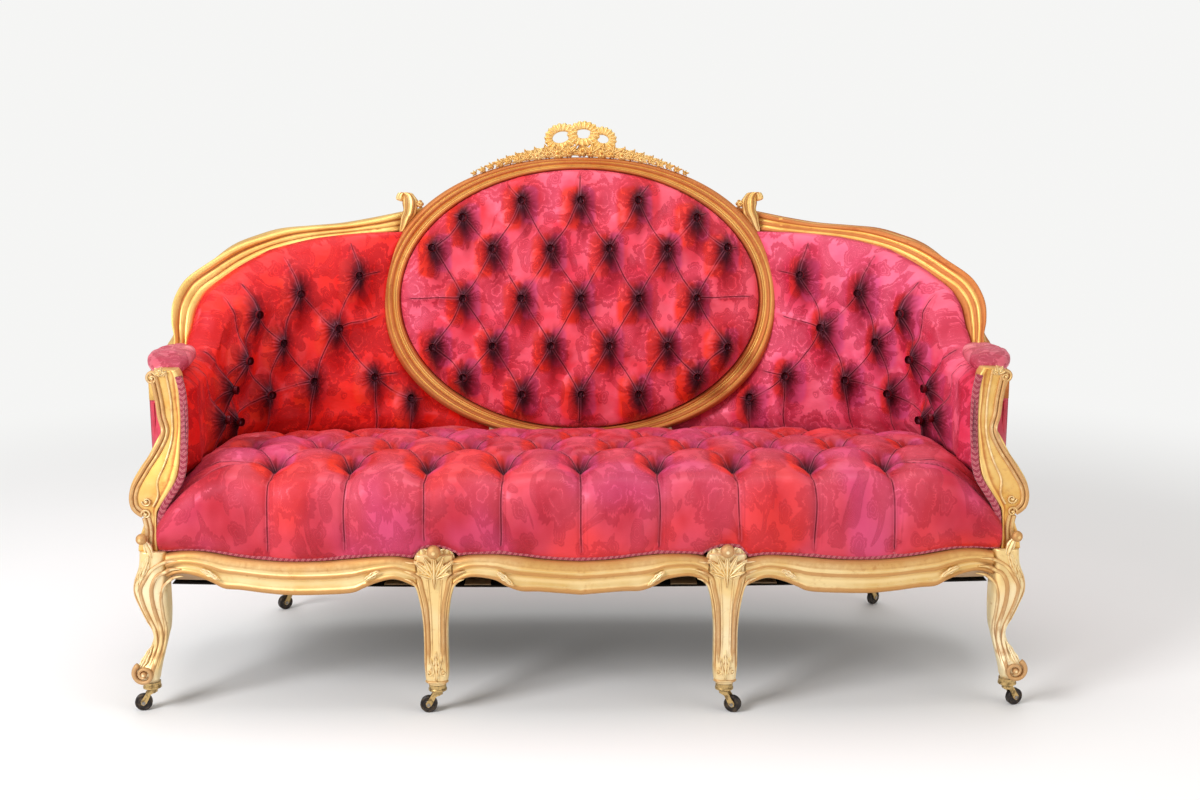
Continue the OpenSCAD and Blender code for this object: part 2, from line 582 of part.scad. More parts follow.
// Space between a wing cushion and the medallion's edge, at its face and at its back
wing_face_gap = 3;
wing_back_gap = 10;
function wing_column(u, v, depth, grow) =
    let (inset = cushion_inset(0.8) + depth, z_guess = mix(wing_bottom, wing_z(0.81) - under_rail, v),
        t = wing_t(u, plan_t(meet_x(z_guess, inset, grow), inset)))
    [t, mix(wing_bottom, lookup(t, cushion_top_line), v)];
function wing_cushion_ring(u) =
    concat(
        [for (k = [0 : wing_front_steps])
            let (v = k / wing_front_steps, q = wing_column(u, v, cushion_edge, wing_face_gap))
            plan_point(q[0], q[1], cushion_inset(q[0]) + wing_face(u, v, q[0], q[1]))],
        [for (k = [wing_front_steps : -wing_back_ratio : 0])
            let (v = k / wing_front_steps, q = wing_column(u, v, 0, wing_back_gap))
            plan_point(q[0], q[1], cushion_inset(q[0]))]);
module wing_cushion() {
    rings = [for (i = [0 : wing_columns]) wing_cushion_ring(i / wing_columns)];
    quilt(rings, wing_front_steps, wing_back_ratio);
}

// The outside panels stand on the seat rails and lean out to the back of the wing rails.
function panel_inset(t, z) =
    let (high = mix(panel_t, panel_t - wing_rail_depth, min(max((t - 0.05) / 0.35, 0), 1)),
        up = min(max((z - rail_top) / (wing_z(0.7) - rail_top), 0), 1))
    mix(panel_foot, high, up);
// How far along a turned section carries its back edge
section_turn_share = 0.057;
panel_top_line = concat([[-1, wing_z(-0.17) - panel_drop], [0.05, wing_z(-0.17) - panel_drop]],
    // Where the section is turned, its back edge lies further along.
    [for (i = [5 : len(wing_shares) - 1]) let (w = wing_shares[i])
        [w[3] + section_turn_share * sin(90 * w[6]), wing_z(w[4]) - panel_drop]],
    [[1, wing_z(0.80) - panel_drop]]);
panel_rows = 10;
panel_columns = 24;
// From this share of its columns on, a panel bends to the medallion's edge
panel_turn_share = 0.88;
// The inner edge runs up the sofa's centre line and then round the medallion, to the wing rail.
panel_end_angle = 26.5;
function panel_edge(v, depth) =
    let (p = oval_point(mix(-90, panel_end_angle, (v * panel_rows - 1) / (panel_rows - 1)), panel_gap))
    on_oval(p[0], p[1], depth - oval_thickness - panel_back);
function panel_point(u, v, depth) =
    let (e = panel_edge(max(v, 1 / panel_rows), depth), finish = panel_edge(1, depth)[2],
        t = wing_t(u, v == 0 ? 1 : plan_t(e[0], 0)),
        v_end = v == 0 ? 0 : (e[2] - panel_low) / (finish - panel_low),
        z = mix(panel_low, lookup(t, panel_top_line), mix(v, v_end, pow(u, 3))),
        p = plan_point(t, z, panel_inset(t, z) + depth))
    v == 0 ? [p[0], p[1], panel_low] : mix(p, e, max(u - panel_turn_share, 0) / (1 - panel_turn_share));
module wing_back() {
    quilt([for (i = [0 : panel_columns])
        concat([for (k = [0 : panel_rows]) panel_point(i / panel_columns, k / panel_rows, 0)],
            [for (k = [panel_rows : -1 : 0]) panel_point(i / panel_columns, k / panel_rows, panel_t)])],
        panel_rows, 1);
}

// Arm pads: a plump roll that lies on the arm rail and over the top of the arm cushion.
pad_w = 92;
pad_h = 42;
pad_centre = 40;
// Rise of the pad's rear end over the rising arm rail
pad_lift = 11;
pad_rise_share = 0.68;
module arm_pad() {
    start = arm_back_y + soft_gap;
    finish = -arm_reach * 0.075;
    steps = 14;
    loft([for (i = [0 : steps])
        let (u = i / steps, y = mix(start, finish, u), swell = pow(sin(mix(12, 172, u)), 0.35),
            x = side_x(y, pad_centre), up = max(u - pad_rise_share, 0) / (1 - pad_rise_share),
            low = arm_top + soft_gap + pad_lift * pow(up, 1.3))
        [for (j = [0 : 11])
            let (a = j * 30 - 90, w = pad_w / 2 * swell * signed_power(cos(a), 0.8),
                h = pad_h * swell * (0.5 + 0.5 * signed_power(sin(a), 0.8)))
            [x + w, y, low + h * (1 - 0.2 * u)]]]);
}

// Medallion

oval_ring_shares = [[0, -1], [0, 0.10], [0.12, 0.26], [0.24, 0.14], [0.34, 0.10], [0.52, 0.30], [0.76, 0.34],
    [0.93, 0.20], [1, -0.06], [1, -1]];
function oval_band_point(a, share) =
    let (o = oval_point(a, 0), i = [oval_half_w * cos(a), oval_half_h * sin(a)]) mix(i, o, share);
module medallion_frame() {
    steps = 56;
    on_back() loft([for (i = [0 : steps - 1])
        [for (p = oval_ring_shares)
            let (q = oval_band_point(i * 360 / steps, p[0])) [q[0], q[1], oval_thickness * p[1]]]],
        looped = true);
}
post_w = 40;
post_x = 190;
post_t = 34;
post_gap = 0.8;
function oval_s(x) = oval_outer_h * pow(1 - pow(x / oval_outer_w, oval_power), 1 / oval_power) + post_gap;
module posts() {
    inner_x = post_x - post_w / 2;
    outer_x = post_x + post_w / 2;
    back = rear_rail_y(outer_x) - seat_gap;
    function foot(z) =
        [[inner_x, back - post_t, z], [outer_x, back - post_t, z], [outer_x, back, z], [inner_x, back, z]];
    both_sides() loft([foot(rail_low), foot(rail_top),
        [on_oval(inner_x, -oval_s(inner_x), 0), on_oval(outer_x, -oval_s(outer_x), 0),
         on_oval(outer_x, -oval_s(outer_x), -post_t), on_oval(inner_x, -oval_s(inner_x), -post_t)]]);
}

// Rows and places of the medallion's buttons; the outer buttons of the end rows are drawn in.
oval_button_places = [for (row = [-2 : 2], i = [-3 : 3])
    let (odd = abs(row) % 2 == 1, x = (odd ? i + 0.5 : i) * oval_pitch,
        s = row * oval_row - (abs(row) == 2 && abs(i) == 2 ? sign(row) * oval_row * 0.36 : 0))
    if ((odd && i < 3) || (!odd && abs(i) < 3)) [x, s]];
function oval_pit(x, s) =
    max([for (p = oval_button_places) exp(-(pow(x - p[0], 2) + pow(s - p[1], 2)) / pow(tuft_reach, 2))]);
oval_edge = 6;
oval_slack = 1.2;
function oval_face(x, s) =
    let (r = pow(x / (oval_half_w - oval_slack), 2) + pow(s / (oval_half_h - oval_slack), 2),
        rim = pow(max(1 - r, 0), 0.35))
    oval_edge + oval_crown * rim - tuft_depth * oval_pit(x, s) * min(rim * 1.4, 1);
oval_rows = 22;
oval_columns = 26;
oval_pad_back = 14;
module medallion_cushion() {
    w = oval_half_w - oval_slack;
    h = oval_half_h - oval_slack;
    on_back() loft([for (i = [0 : oval_columns])
        let (x = w * sin(86 * (2 * i / oval_columns - 1)), top = h * sqrt(1 - pow(x / w, 2)))
        concat(
            [for (j = [0 : oval_rows])
                let (f = (2 * j / oval_rows - 1) * h * 1.02 / top,
                    s = top * f / pow(1 + pow(abs(f), 4), 0.25))
                [x, s, oval_face(x, s)]],
            [[x, top * 0.9, -oval_pad_back], [x, -top * 0.9, -oval_pad_back]])], symmetric = true);
}

// Seat

seat_half = corner_leg_x - knee_width * 0.09 - soft_gap * 2;
// Space between the seat and the medallion's foot
seat_oval_gap = 2;
seat_middle_rear = on_oval(0, -oval_outer_h, oval_thickness * 0.34)[1] - seat_oval_gap;
function seat_rear_y(x) =
    let (b = plan_b(seat_rear) - wing_rail_depth * 2.2)
    min(b * pow(max(1 - pow(min(abs(x) / seat_half, 1), plan_power), 0), 1 / plan_power),
        seat_middle_rear + 0.6 * max(abs(x) - oval_outer_w * 0.46, 0));
seat_rows = [for (k = [0 : 3]) front_y(0) + seat_front_setback + seat_row * k];
function seat_row_x(k, x) =
    let (shift = k % 2 == 0 ? 0 : seat_pitch / 2) x - (round((x - shift) / seat_pitch) * seat_pitch + shift);
function seat_button_y(k, x) = seat_rows[k] + (front_y(x) - front_y(0)) * 0.6;
function seat_pit(x, y) =
    max([for (k = [0 : 3]) let (dx = seat_row_x(k, x), dy = y - seat_button_y(k, x))
        exp(-(dx * dx + dy * dy) / pow(tuft_reach, 2))]);
seat_profile_shares = [[0, 0.62], [0.06, 0.8], [0.14, 0.93], [0.28, 1], [0.45, 0.99], [0.62, 0.88],
    [0.78, 0.62], [0.9, 0.3], [1, 0]];
// The seat falls away at its two ends, past this share of its half width, where its buttons end too.
seat_flat_share = 0.835;
seat_end_drop = 97;
function side_drop(x) =
    seat_end_drop * pow(max((abs(x) / seat_half - seat_flat_share) / (1 - seat_flat_share), 0), 2.2);
function seat_top_z(x, y, v) =
    seat_rear + seat_crown * lookup(v, seat_profile_shares) - side_drop(x)
        - tuft_depth * seat_pit(x, y) * min(1, (1 - v) * 6) * (side_drop(x) > seat_end_drop * 0.2 ? 0.2 : 1);
// Height of the hollow under the seat, above the rails, for the springs
seat_hollow = 68;
seat_under = rail_top + seat_hollow;
seat_border = 46;
seat_top_steps = 16;
pleat_depth = 7;
pleat_reach = 20;
// The front border: how far behind the front line, how high, and how deep its pleats are.
border_shares = [[-0.04, 0.36, 1], [-0.15, 0.58, 1], [-0.02, 0.80, 1], [0.39, 0.95, 0.5]];
function seat_ring(x) =
    let (f = front_y(x), e = edge_over(x, seat_pitch / 4), r = max(seat_rear_y(x), f + seat_border * 2),
        crest = seat_rear + seat_crown * seat_profile_shares[0][1] - side_drop(x),
        start = f + seat_border, fold = seat_border * 0.3, under = min(seat_under, crest - fold),
        pleat = pleat_depth * exp(-pow(seat_row_x(0, x) / pleat_reach, 2)))
    concat(
        [[x, start + fold, e], [x, f + gimp_setback, e], [x, f + gimp_setback, e + gimp_w * 1.15]],
        [for (b = border_shares) [x, f + seat_border * b[0] + pleat * b[2], mix(e, crest, b[1])]],
        [for (j = [0 : seat_top_steps])
            let (v = j / seat_top_steps, y = mix(start, r, v)) [x, y, seat_top_z(x, y, v)]],
        [[x, r, under], [x, start + fold, under]]);
seat_columns = floor((seat_half - pleat_reach) / seat_pitch * 4);
module seat_pad() {
    ends = [seat_half - seat_border * 0.26, seat_half - seat_border * 0.06];
    columns = [for (i = [-seat_columns : seat_columns]) i * seat_pitch / 4];
    loft([for (x = concat([-ends[1], -ends[0]], columns, ends)) seat_ring(x)], symmetric = true);
}

// Buttons: a domed cap with a small neck.
module button() {
    r = button_d / 2;
    rotate_extrude($fn = 48) polygon(concat(
        [[0, 0], [r * 0.72, 0], [r, r * 0.22]],
        [for (i = [1 : 4]) [r * cos(i * 18), r * (0.22 + 0.55 * sin(i * 18))]],
        [[0, r * 0.77]]));
}
// How high each button rests above the bottom of its tuft, on the folds around it, as shares of button_rest
button_rest = 7;
seat_rest_shares = [[0.27, 0.43, 0.27, 0.29, 0.34], [0.85, 0.91, 0.85, 0.75, 0.33],
    [0.52, 0.5, 0.8, 0.37, 0.58], [0.28, 0.36, 0, 0.38, 0.46]];
oval_rest_shares = [[0.88, 1.66, 0.84], [1.97, 1.53, 0.87], [0.83, 1.59, 1.05], [2.11, 1.72, 0.84],
    [0.87, 1.6, 0.84]];
module seat_button_set() {
    r = button_d / 2;
    last = floor(seat_half * seat_flat_share / seat_pitch);
    for (k = [0 : 3], i = [0 : last], side = [-1, 1]) {
        x = (k % 2 == 0 ? i : i + 0.5) * seat_pitch;
        y = seat_button_y(k, x);
        f = front_y(x) + seat_border;
        rear = seat_rear_y(x);
        around = [for (dx = [-r, 0, r], dy = [-r, 0, r])
            seat_top_z(x + dx, y + dy, (y + dy - f) / (rear - f))];
        if (x < seat_half * seat_flat_share && (side > 0 || x > 0))
            translate([side * x, y, max(around) + button_rest * seat_rest_shares[k][min(i, 4)]]) button();
    }
}
module oval_button_set() {
    for (p = oval_button_places) {
        row = round(p[1] / oval_row + (abs(p[0]) > oval_pitch * 1.5 ? sign(p[1]) * 0.3 : 0));
        rest = oval_rest_shares[row + 2][floor(abs(p[0]) / oval_pitch)];
        on_back() translate([p[0], p[1], oval_face(p[0], p[1]) + button_rest * rest]) button();
    }
}
module wing_button_set() {
    for (p = wing_button_shares) {
        z = wing_button_z(p[1]);
        out = out_of(p[0], z);
        depth = cushion_inset(p[0]) + cushion_edge + wing_crown - tuft_depth + button_rest * p[2];
        translate(plan_point(p[0], z, depth)) rotate([0, 90, atan2(-out[1], -out[0])]) button();
    }
}

// Gimp along the seat's lower edge
gimp_t = 3;
gimp_edge = 0.5;
module gimp() {
    steps = 72;
    end = seat_half - gimp_t;
    loft([for (i = [0 : steps])
        let (x = mix(-end, end, i / steps), y = front_y(x) + gimp_setback - seat_gap,
            front = y - gimp_t, z = edge_over(x, end / steps))
        [[x, y, z], [x, front, z + gimp_edge], [x, front, z + gimp_w - gimp_edge], [x, y, z + gimp_w]]]);
}

// Springs and webbing

web_z = rail_low - web_t;
// First strap behind the front line, and spacing of the straps that run from side to side
web_setback = 136;
web_first_y = front_y(0) + web_setback;
web_step_y = 78;
web_count = floor((rear_rail_y(0) - web_w - web_first_y) / web_step_y);
// Spacing of the straps that run from front to back, in the middle and in the two bays
web_step_x = 102;
web_clear = 16;
// Half of the width inside the rails' outer faces at depth y.
function web_reach(y) =
    y < 0 ? side_x(y, rail_inset)
        : let (share = y / (plan_b(rail_top) - rail_inset))
            (half_width - rail_inset) * pow(1 - pow(share, plan_power), 1 / plan_power);
web_xs = concat([for (i = [0 : 2]) i * web_step_x],
    [for (i = [0 : 2]) bay_start + web_w / 2 + web_clear + i * web_step_x]);
module webbing() {
    for (i = [0 : web_count]) {
        y = web_first_y + i * web_step_y;
        reach = min(web_reach(y - web_w / 2), web_reach(y + web_w / 2)) - web_clear;
        translate([-reach, y - web_w / 2, web_z]) cube([reach * 2, web_w, web_t]);
    }
    for (side = [-1, 1], x = web_xs) {
        front = front_y(x - web_w / 2) + rail_thickness * 1.25;
        back = rear_rail_y(x + web_w / 2) + rail_thickness / 2;
        if (side > 0 || x > 0)
            translate([side * x - web_w / 2, front, web_z - web_t]) cube([web_w, back - front, web_t]);
    }
}

// Springs stand in rows, as many as the frame holds: two pairs in the middle, three in each bay.
spring_pitch = 115;
spring_setback = 146;
spring_first_y = front_y(0) + spring_setback;
spring_xs = concat([for (k = [0 : 1]) (k + 0.5) * spring_pitch],
    [for (k = [1 : 3]) middle_leg_x + k * spring_pitch]);
spring_places = [for (row = [0 : floor((rear_rail_y(0) - spring_first_y) / spring_pitch)], x = spring_xs)
    let (y = spring_first_y + row * spring_pitch, r = spring_d / 2)
    if (y + r < rear_rail_y(x + r) - web_clear && x + r < web_reach(y + r) - rail_thickness - canvas_margin)
        each [[x, y], [-x, y]]];
spring_low = rail_low + seat_gap;
spring_high = seat_under - canvas_t - button_rest;
module spring() {
    h = spring_high - spring_low;
    r = spring_d / 2;
    waist = r * 0.62;
    outer = [for (i = [0 : 8]) [mix(waist, r, pow(i / 4 - 1, 2)), h * i / 8]];
    inner = [for (i = [8 : -1 : 0]) [mix(waist, r, pow(i / 4 - 1, 2)) - spring_wall, h * i / 8]];
    rotate_extrude($fn = 48) polygon(concat(outer, inner));
}
module springs() {
    for (p = spring_places) translate([p[0], p[1], spring_low]) spring();
}
function wrapped(front, half) =
    concat(front, half, [for (i = [len(half) - 2 : -1 : 0]) [-half[i][0], half[i][1]]]);
// The wrap-round line at the rails' top, from the right arm to the centre of the back.
function plan_line(steps, inset) =
    [for (i = [0 : steps]) let (p = plan_point(i / steps, rail_top, inset)) [p[0], p[1]]];
canvas_front = front_y(corner_leg_x) + seat_border * 1.35;
module canvas() {
    half = plan_line(10, rail_inset + rail_thickness + canvas_margin);
    translate([0, 0, spring_high + seat_gap]) linear_extrude(canvas_t) polygon(wrapped(
        [[-half[0][0], canvas_front + canvas_margin], [-half[0][0] + canvas_margin * 2, canvas_front],
         [half[0][0] - canvas_margin * 2, canvas_front], [half[0][0], canvas_front + canvas_margin]], half));
}
module underside_cloth() {
    half = plan_line(12, rail_inset + rail_thickness * 0.35);
    corner = [corner_inner - over, corner_leg_y + knee_width * 0.75];
    front = [for (i = [-8 : 8]) let (x = i * corner[0] / 8) [x, front_y(x) + rail_thickness + over]];
    clear = middle_shaft * 0.06;
    translate([0, 0, web_z - web_t - seat_gap - canvas_t]) linear_extrude(canvas_t) difference() {
        polygon(wrapped(concat([[-corner[0], corner[1]]], front, [corner]), half));
        for (side = [-1, 1]) {
            translate([side * middle_leg_x, middle_leg_y])
                square([middle_block + clear, middle_shaft + clear], center = true);
            translate([side * rear_base[0], rear_base[1]]) circle(r = rail_thickness * 0.95, $fn = 48);
        }
    }
}

// Behind the medallion's cushion

oval_web_step = 105;
module medallion_webbing() {
    web_d = -oval_pad_back - seat_gap - web_t;
    on_back() {
        for (i = [-2 : 2]) {
            s = i * oval_web_step;
            w = oval_half_w * sqrt(1 - pow((abs(s) + web_w / 2) / oval_half_h, 2)) - soft_gap;
            translate([-w, s - web_w / 2, web_d]) cube([w * 2, web_w, web_t]);
        }
        for (i = [-3 : 3]) {
            x = i * oval_web_step;
            h = oval_half_h * sqrt(1 - pow((abs(x) + web_w / 2) / oval_half_w, 2)) - soft_gap;
            translate([x - web_w / 2, -h, web_d - web_t]) cube([web_w, h * 2, web_t]);
        }
    }
}
module medallion_panel() {
    w = oval_half_w - seat_gap;
    h = oval_half_h - seat_gap;
    on_back() translate([0, 0, -oval_thickness])
        linear_extrude(panel_t) polygon([for (i = [0 : 55]) [w * cos(i * 360 / 56), h * sin(i * 360 / 56)]]);
}

// Crest: a bow of three ribbon loops, and a garland of leaves and flowers along the top of the medallion

bow_size = 54;
bow_x = 5;
ribbon_w = 13;
ribbon_t = 8;
// Centre across and up, half width, half height as shares of the bow's size, and the turn of each loop.
bow_shares = [[0.07, 0.98, 0.62, 0.40, 0], [-0.90, 0.84, 0.60, 0.46, 15], [0.88, 0.76, 0.50, 0.45, -15]];
module ribbon_loop(row) {
    steps = 18;
    translate(bow_size * [row[0], row[1], 0]) rotate([0, 0, row[4]]) loft([for (i = [0 : steps - 1])
        let (a = i * 360 / steps, o = bow_size * [row[2] * cos(a), row[3] * sin(a)],
            n = o - [cos(a), sin(a)] * ribbon_t, h = ribbon_w / 2)
        [[o[0], o[1], -h], [o[0], o[1], h], [n[0], n[1], h], [n[0], n[1], -h]]],
        looped = true);
}
module bow() {
    on_back() translate([bow_x, oval_outer_h, oval_thickness * 0.05]) {
        for (row = bow_shares) ribbon_loop(row);
        translate([0, bow_size * 0.215, 0]) sphere(d = bow_size * 0.48, $fn = 10);
        for (side = [-1, 1])
            translate([0, bow_size * 0.26, 0]) rotate([0, 90, 90 - side * 68])
                cylinder(d = bow_size * 0.24, h = bow_size * 0.56, $fn = 8);
    }
}
garland_count = 9;
// First place and step of the garland, in degrees around the medallion and in the leaves' own turn
garland_start = [8, 5];
garland_step = [2.75, 2.6];
leaf_turn = [52, 35];
flower_d = 18;
leaf_l = 30;
module leaf(l) {
    w = l * 0.4;
    t = l * 0.23;
    closed_solid([[0, 0, 0], [l * 0.45, w / 2, 0], [l, 0, t * 0.4], [l * 0.45, -w / 2, 0], [l * 0.45, 0, t],
        [l * 0.4, 0, -t * 0.5]],
        [[0, 1, 4], [1, 2, 4], [2, 3, 4], [3, 0, 4], [1, 0, 5], [2, 1, 5], [3, 2, 5], [0, 3, 5]]);
}
module garland() {
    on_back() for (side = [-1, 1], i = [0 : garland_count - 1]) {
        a = 90 - side * (garland_start[0] + i * garland_step[0]);
        p = oval_point(a, flower_d * (1 - 0.03 * i) * 0.44);
        // The medallion's edge turns more slowly than the angle along it.
        square_out = 90 - side * (garland_start[1] + i * garland_step[1]);
        translate([p[0], p[1], oval_thickness * 0.12]) {
            if (i % 2 == 0) sphere(d = flower_d * (1 - 0.03 * i), $fn = 8);
            rotate([0, 0, square_out - side * leaf_turn[0]]) leaf(leaf_l);
            rotate([0, 0, square_out + side * leaf_turn[1]]) leaf(leaf_l * 0.6);
        }
    }
}

// Ears: the acanthus scrolls that rise where the wing rails meet the medallion and curl over outwards
// Place outwards, height and width of each ring, as shares of the ear's height and width.
ear_path_shares = [[0, 0, 0.60], [-0.09, 0.20, 0.80], [-0.13, 0.42, 0.90], [-0.14, 0.62, 0.82],
    [-0.07, 0.80, 0.64], [0.05, 0.84, 0.46], [0.15, 0.75, 0.34], [0.16, 0.60, 0.20]];
// The small lobe behind the leaf, beside the medallion
ear_lobe_d = 19;
ear_height = 74;
ear_width = 34;
ear_shift = 37.8;
ear_angle = 38.5;
module ear() {
    base = oval_point(ear_angle, 0);
    on_back() translate([base[0] + ear_shift, base[1] - ear_height * 0.4, 0]) union() {
        loft([for (row = curve(ear_path_shares, 16))
            let (r = ear_width * row[2] / 2, x = ear_height * row[0], s = ear_height * row[1])
            [for (j = [0 : 7]) [x + r * cos(j * 45), s, r * 0.8 * sin(j * 45)]]]);
        translate(ear_height * [-0.42, 0.52, 0]) sphere(d = ear_lobe_d, $fn = 8);
    }
}

// Castors

swivel_r = swivel_pin_d / 2;
// Below the wooden foot: the stem's plate, and the cup's floor above it
cup_floor = 9;
fork_top = foot_height - cup_floor;
plate_t = 5;
cheek_t = 2.6;
cheek_gap = 0.5;
wheel_gap = 1.4;
washer_t = 1.2;
rivet_t = 2.6;
rivet_r = swivel_r * 1.5;
hub_r = axle_d * 0.95;
rim_round = 1.7;
web_recess = 1.2;
plate_low = fork_top - plate_t;
corner_foot = [corner_leg_x + knee_width * corner_shares[0][1],
    corner_leg_y - knee_width * corner_shares[0][1] * corner_turn_share];
middle_foot = [middle_leg_x, middle_leg_y];
cup_wall = 1.6;
cup_r = foot_d / 2 + cup_wall + 0.6;
module cup() {
    top = foot_height + foot_d * 0.25;
    flange = cup_r * 1.06;
    low = fork_top + seat_gap;
    rest = foot_height - seat_gap;
    under = plate_low - seat_gap;
    rotate_extrude($fn = 64) polygon([
        [0, under - rivet_t], [rivet_r, under - rivet_t], [rivet_r, under],
        [swivel_r, under], [swivel_r, low], [cup_r * 0.55, low], [cup_r * 0.82, mix(low, rest, 0.35)],
        [flange, mix(low, rest, 0.45)], [flange, mix(low, rest, 0.85)], [cup_r, rest], [cup_r, top],
        [cup_r - cup_wall, top], [cup_r - cup_wall, rest], [0, rest]]);
}
module castor_fork() {
    inner = wheel_w / 2 + cheek_gap;
    // Outline of a cheek: shares of the trail and of the fork's height.
    cheek_shares = [[-0.22, 1], [0.47, 1], [1.3, 0.47], [1.28, 0.33], [1, 0.26], [0.67, 0.37], [0.17, 0.79],
        [-0.22, 0.88]];
    difference() {
        union() {
            translate([0, 0, plate_low]) cylinder(r = swivel_r * 2.5, h = plate_t, $fn = 48);
            for (side = [-1, 1])
                translate([0, side * (inner + cheek_t / 2), 0]) rotate([90, 0, 0])
                    linear_extrude(cheek_t, center = true)
                        polygon([for (p = cheek_shares) [trail * p[0], fork_top * p[1]]]);
        }
        translate([0, 0, -over]) cylinder(r = swivel_r + run_gap, h = foot_height, $fn = 64);
        translate([0, 0, -over]) cylinder(r = rivet_r + cheek_gap, h = plate_low + over, $fn = 64);
        translate([trail, 0, axle_z]) rotate([90, 0, 0]) {
            cylinder(d = axle_d, h = wheel_w * 2, center = true, $fn = 48);
            cylinder(r = wheel_d / 2 + wheel_gap, h = inner * 2, center = true, $fn = 64);
        }
    }
}
module castor_axle() {
    span = wheel_w + 2 * (cheek_gap + cheek_t);
    translate([trail, 0, axle_z]) rotate([90, 0, 0]) union() {
        cylinder(d = axle_d, h = span, center = true, $fn = 48);
        for (side = [-1, 1])
            translate([0, 0, side * (span + washer_t) / 2])
                cylinder(d = axle_d * 1.5, h = washer_t, center = true, $fn = 48);
    }
}
module castor_wheel() {
    r = wheel_d / 2;
    w = wheel_w / 2;
    half = [[axle_d / 2 + run_gap, w], [hub_r + rim_round, w], [hub_r + rim_round * 2, w - web_recess],
        [r * 0.74, w - web_recess], [r * 0.8, w], [r - rim_round, w], [r, w - rim_round]];
    translate([trail, 0, axle_z]) rotate([90, 0, 0]) rotate_extrude($fn = 96)
        polygon(concat([for (i = [0 : 6]) [half[i][0], -half[i][1]]], [for (i = [6 : -1 : 0]) half[i]]));
}

// Foot and heading of each castor as it stands
castors = [
    ["front_left", [-corner_foot[0], corner_foot[1]], 190], ["front_right", corner_foot, 20],
    ["middle_left", [-middle_foot[0], middle_foot[1]], 180], ["middle_right", middle_foot, -20],
    ["rear_left", [-rear_foot[0], rear_foot[1]], 215], ["rear_right", rear_foot, 40]];
module castor_part(name) {
    for (c = castors) {
        at = [c[1][0], c[1][1], 0];
        if (name == str("castor_fork_", c[0]))
            color(brass) translate(at) rotate([0, 0, c[2]]) castor_fork();
        if (name == str("castor_axle_", c[0]))
            color("#5f5a52") translate(at) rotate([0, 0, c[2]]) castor_axle();
        if (name == str("castor_wheel_", c[0]))
            color("#2a2a2c") translate(at) rotate([0, 0, c[2]]) castor_wheel();
    }
}

// Sub-parts

module front_leg_right() { color(gilt) corner_leg(); }
module front_leg_left() { color(gilt) mirror([1, 0, 0]) corner_leg(); }
module middle_leg_right() { color(gilt) middle_leg(); }
module middle_leg_left() { color(gilt) mirror([1, 0, 0]) middle_leg(); }
module rear_leg_right() { color(gilt) rear_leg(); }
module rear_leg_left() { color(gilt) mirror([1, 0, 0]) rear_leg(); }
module apron_right() { color(gilt) bay_apron(); }
module apron_left() { color(gilt) mirror([1, 0, 0]) bay_apron(); }
module apron_center() { color(gilt) centre_apron(); }
module side_rail_right() { color(beech) side_rail(); }
module side_rail_left() { color(beech) mirror([1, 0, 0]) side_rail(); }
module rear_rail() { color(beech) back_rail(); }
module seat_cross_rails() { color(beech) both_sides() cross_rail(); }
module corner_blocks() { color(beech) both_sides() front_block(); }
module block_screws() {
    color("silver") both_sides() on_block_screws() block_screw();
}
module arm_support_right() { color(gilt) arm_support(); }
module arm_support_left() { color(gilt) mirror([1, 0, 0]) arm_support(); }
module wing_rail_right() { color(gilt) wing_rail(); }
module wing_rail_left() { color(gilt) mirror([1, 0, 0]) wing_rail(); }
module oval_frame() { color(gilt) medallion_frame(); }
module oval_posts() { color(beech) posts(); }
module crest_bow() { color(gilt) bow(); }
module crest_garland() { color(gilt) garland(); }
module ear_scrolls() { color(gilt) both_sides() ear(); }
module seat_cushion() { color(silk) seat_pad(); }
module oval_cushion() { color(silk) medallion_cushion(); }
module wing_cushion_right() { color(silk) wing_cushion(); }
module wing_cushion_left() { color(silk) mirror([1, 0, 0]) wing_cushion(); }
module arm_pad_right() { color(silk) arm_pad(); }
module arm_pad_left() { color(silk) mirror([1, 0, 0]) arm_pad(); }
module seat_buttons() { color(silk) seat_button_set(); }
module oval_buttons() { color(silk) oval_button_set(); }
module wing_buttons() { color(silk) both_sides() wing_button_set(); }
module gimp_braid() { color("#c9506a") gimp(); }
module seat_webbing() { color(linen) webbing(); }
module seat_springs() { color("silver") springs(); }
module spring_canvas() { color(linen) canvas(); }
module dust_cover() { color("#222222") underside_cloth(); }
module oval_webbing() { color(linen) medallion_webbing(); }
module oval_back_panel() { color(silk) medallion_panel(); }
module wing_backs() { color(silk) both_sides() wing_back(); }
module castor_cups() {
    color(brass) for (c = castors) translate([c[1][0], c[1][1], 0]) cup();
}

front_leg_left();
front_leg_right();
middle_leg_left();
middle_leg_right();
rear_leg_left();
rear_leg_right();
apron_left();
apron_center();
apron_right();
side_rail_left();
side_rail_right();
rear_rail();
seat_cross_rails();
corner_blocks();
block_screws();
arm_support_left();
arm_support_right();
wing_rail_left();
wing_rail_right();
oval_frame();
oval_posts();
crest_bow();
crest_garland();
ear_scrolls();
seat_cushion();
oval_cushion();
wing_cushion_left();
wing_cushion_right();
arm_pad_left();
arm_pad_right();
seat_buttons();
oval_buttons();
wing_buttons();
gimp_braid();
seat_webbing();
seat_springs();
spring_canvas();
dust_cover();
oval_webbing();
oval_back_panel();
wing_backs();
castor_cups();
for (name = NODES) castor_part(name);
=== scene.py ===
"""Dresses the cabriole sofa's frame: gilt carving, deep-buttoned silk damask, gimp and brass castors."""

import logging
import math
from dataclasses import dataclass, field
from enum import IntEnum
from typing import Callable, ClassVar, Dict, List, Optional, Sequence, Tuple

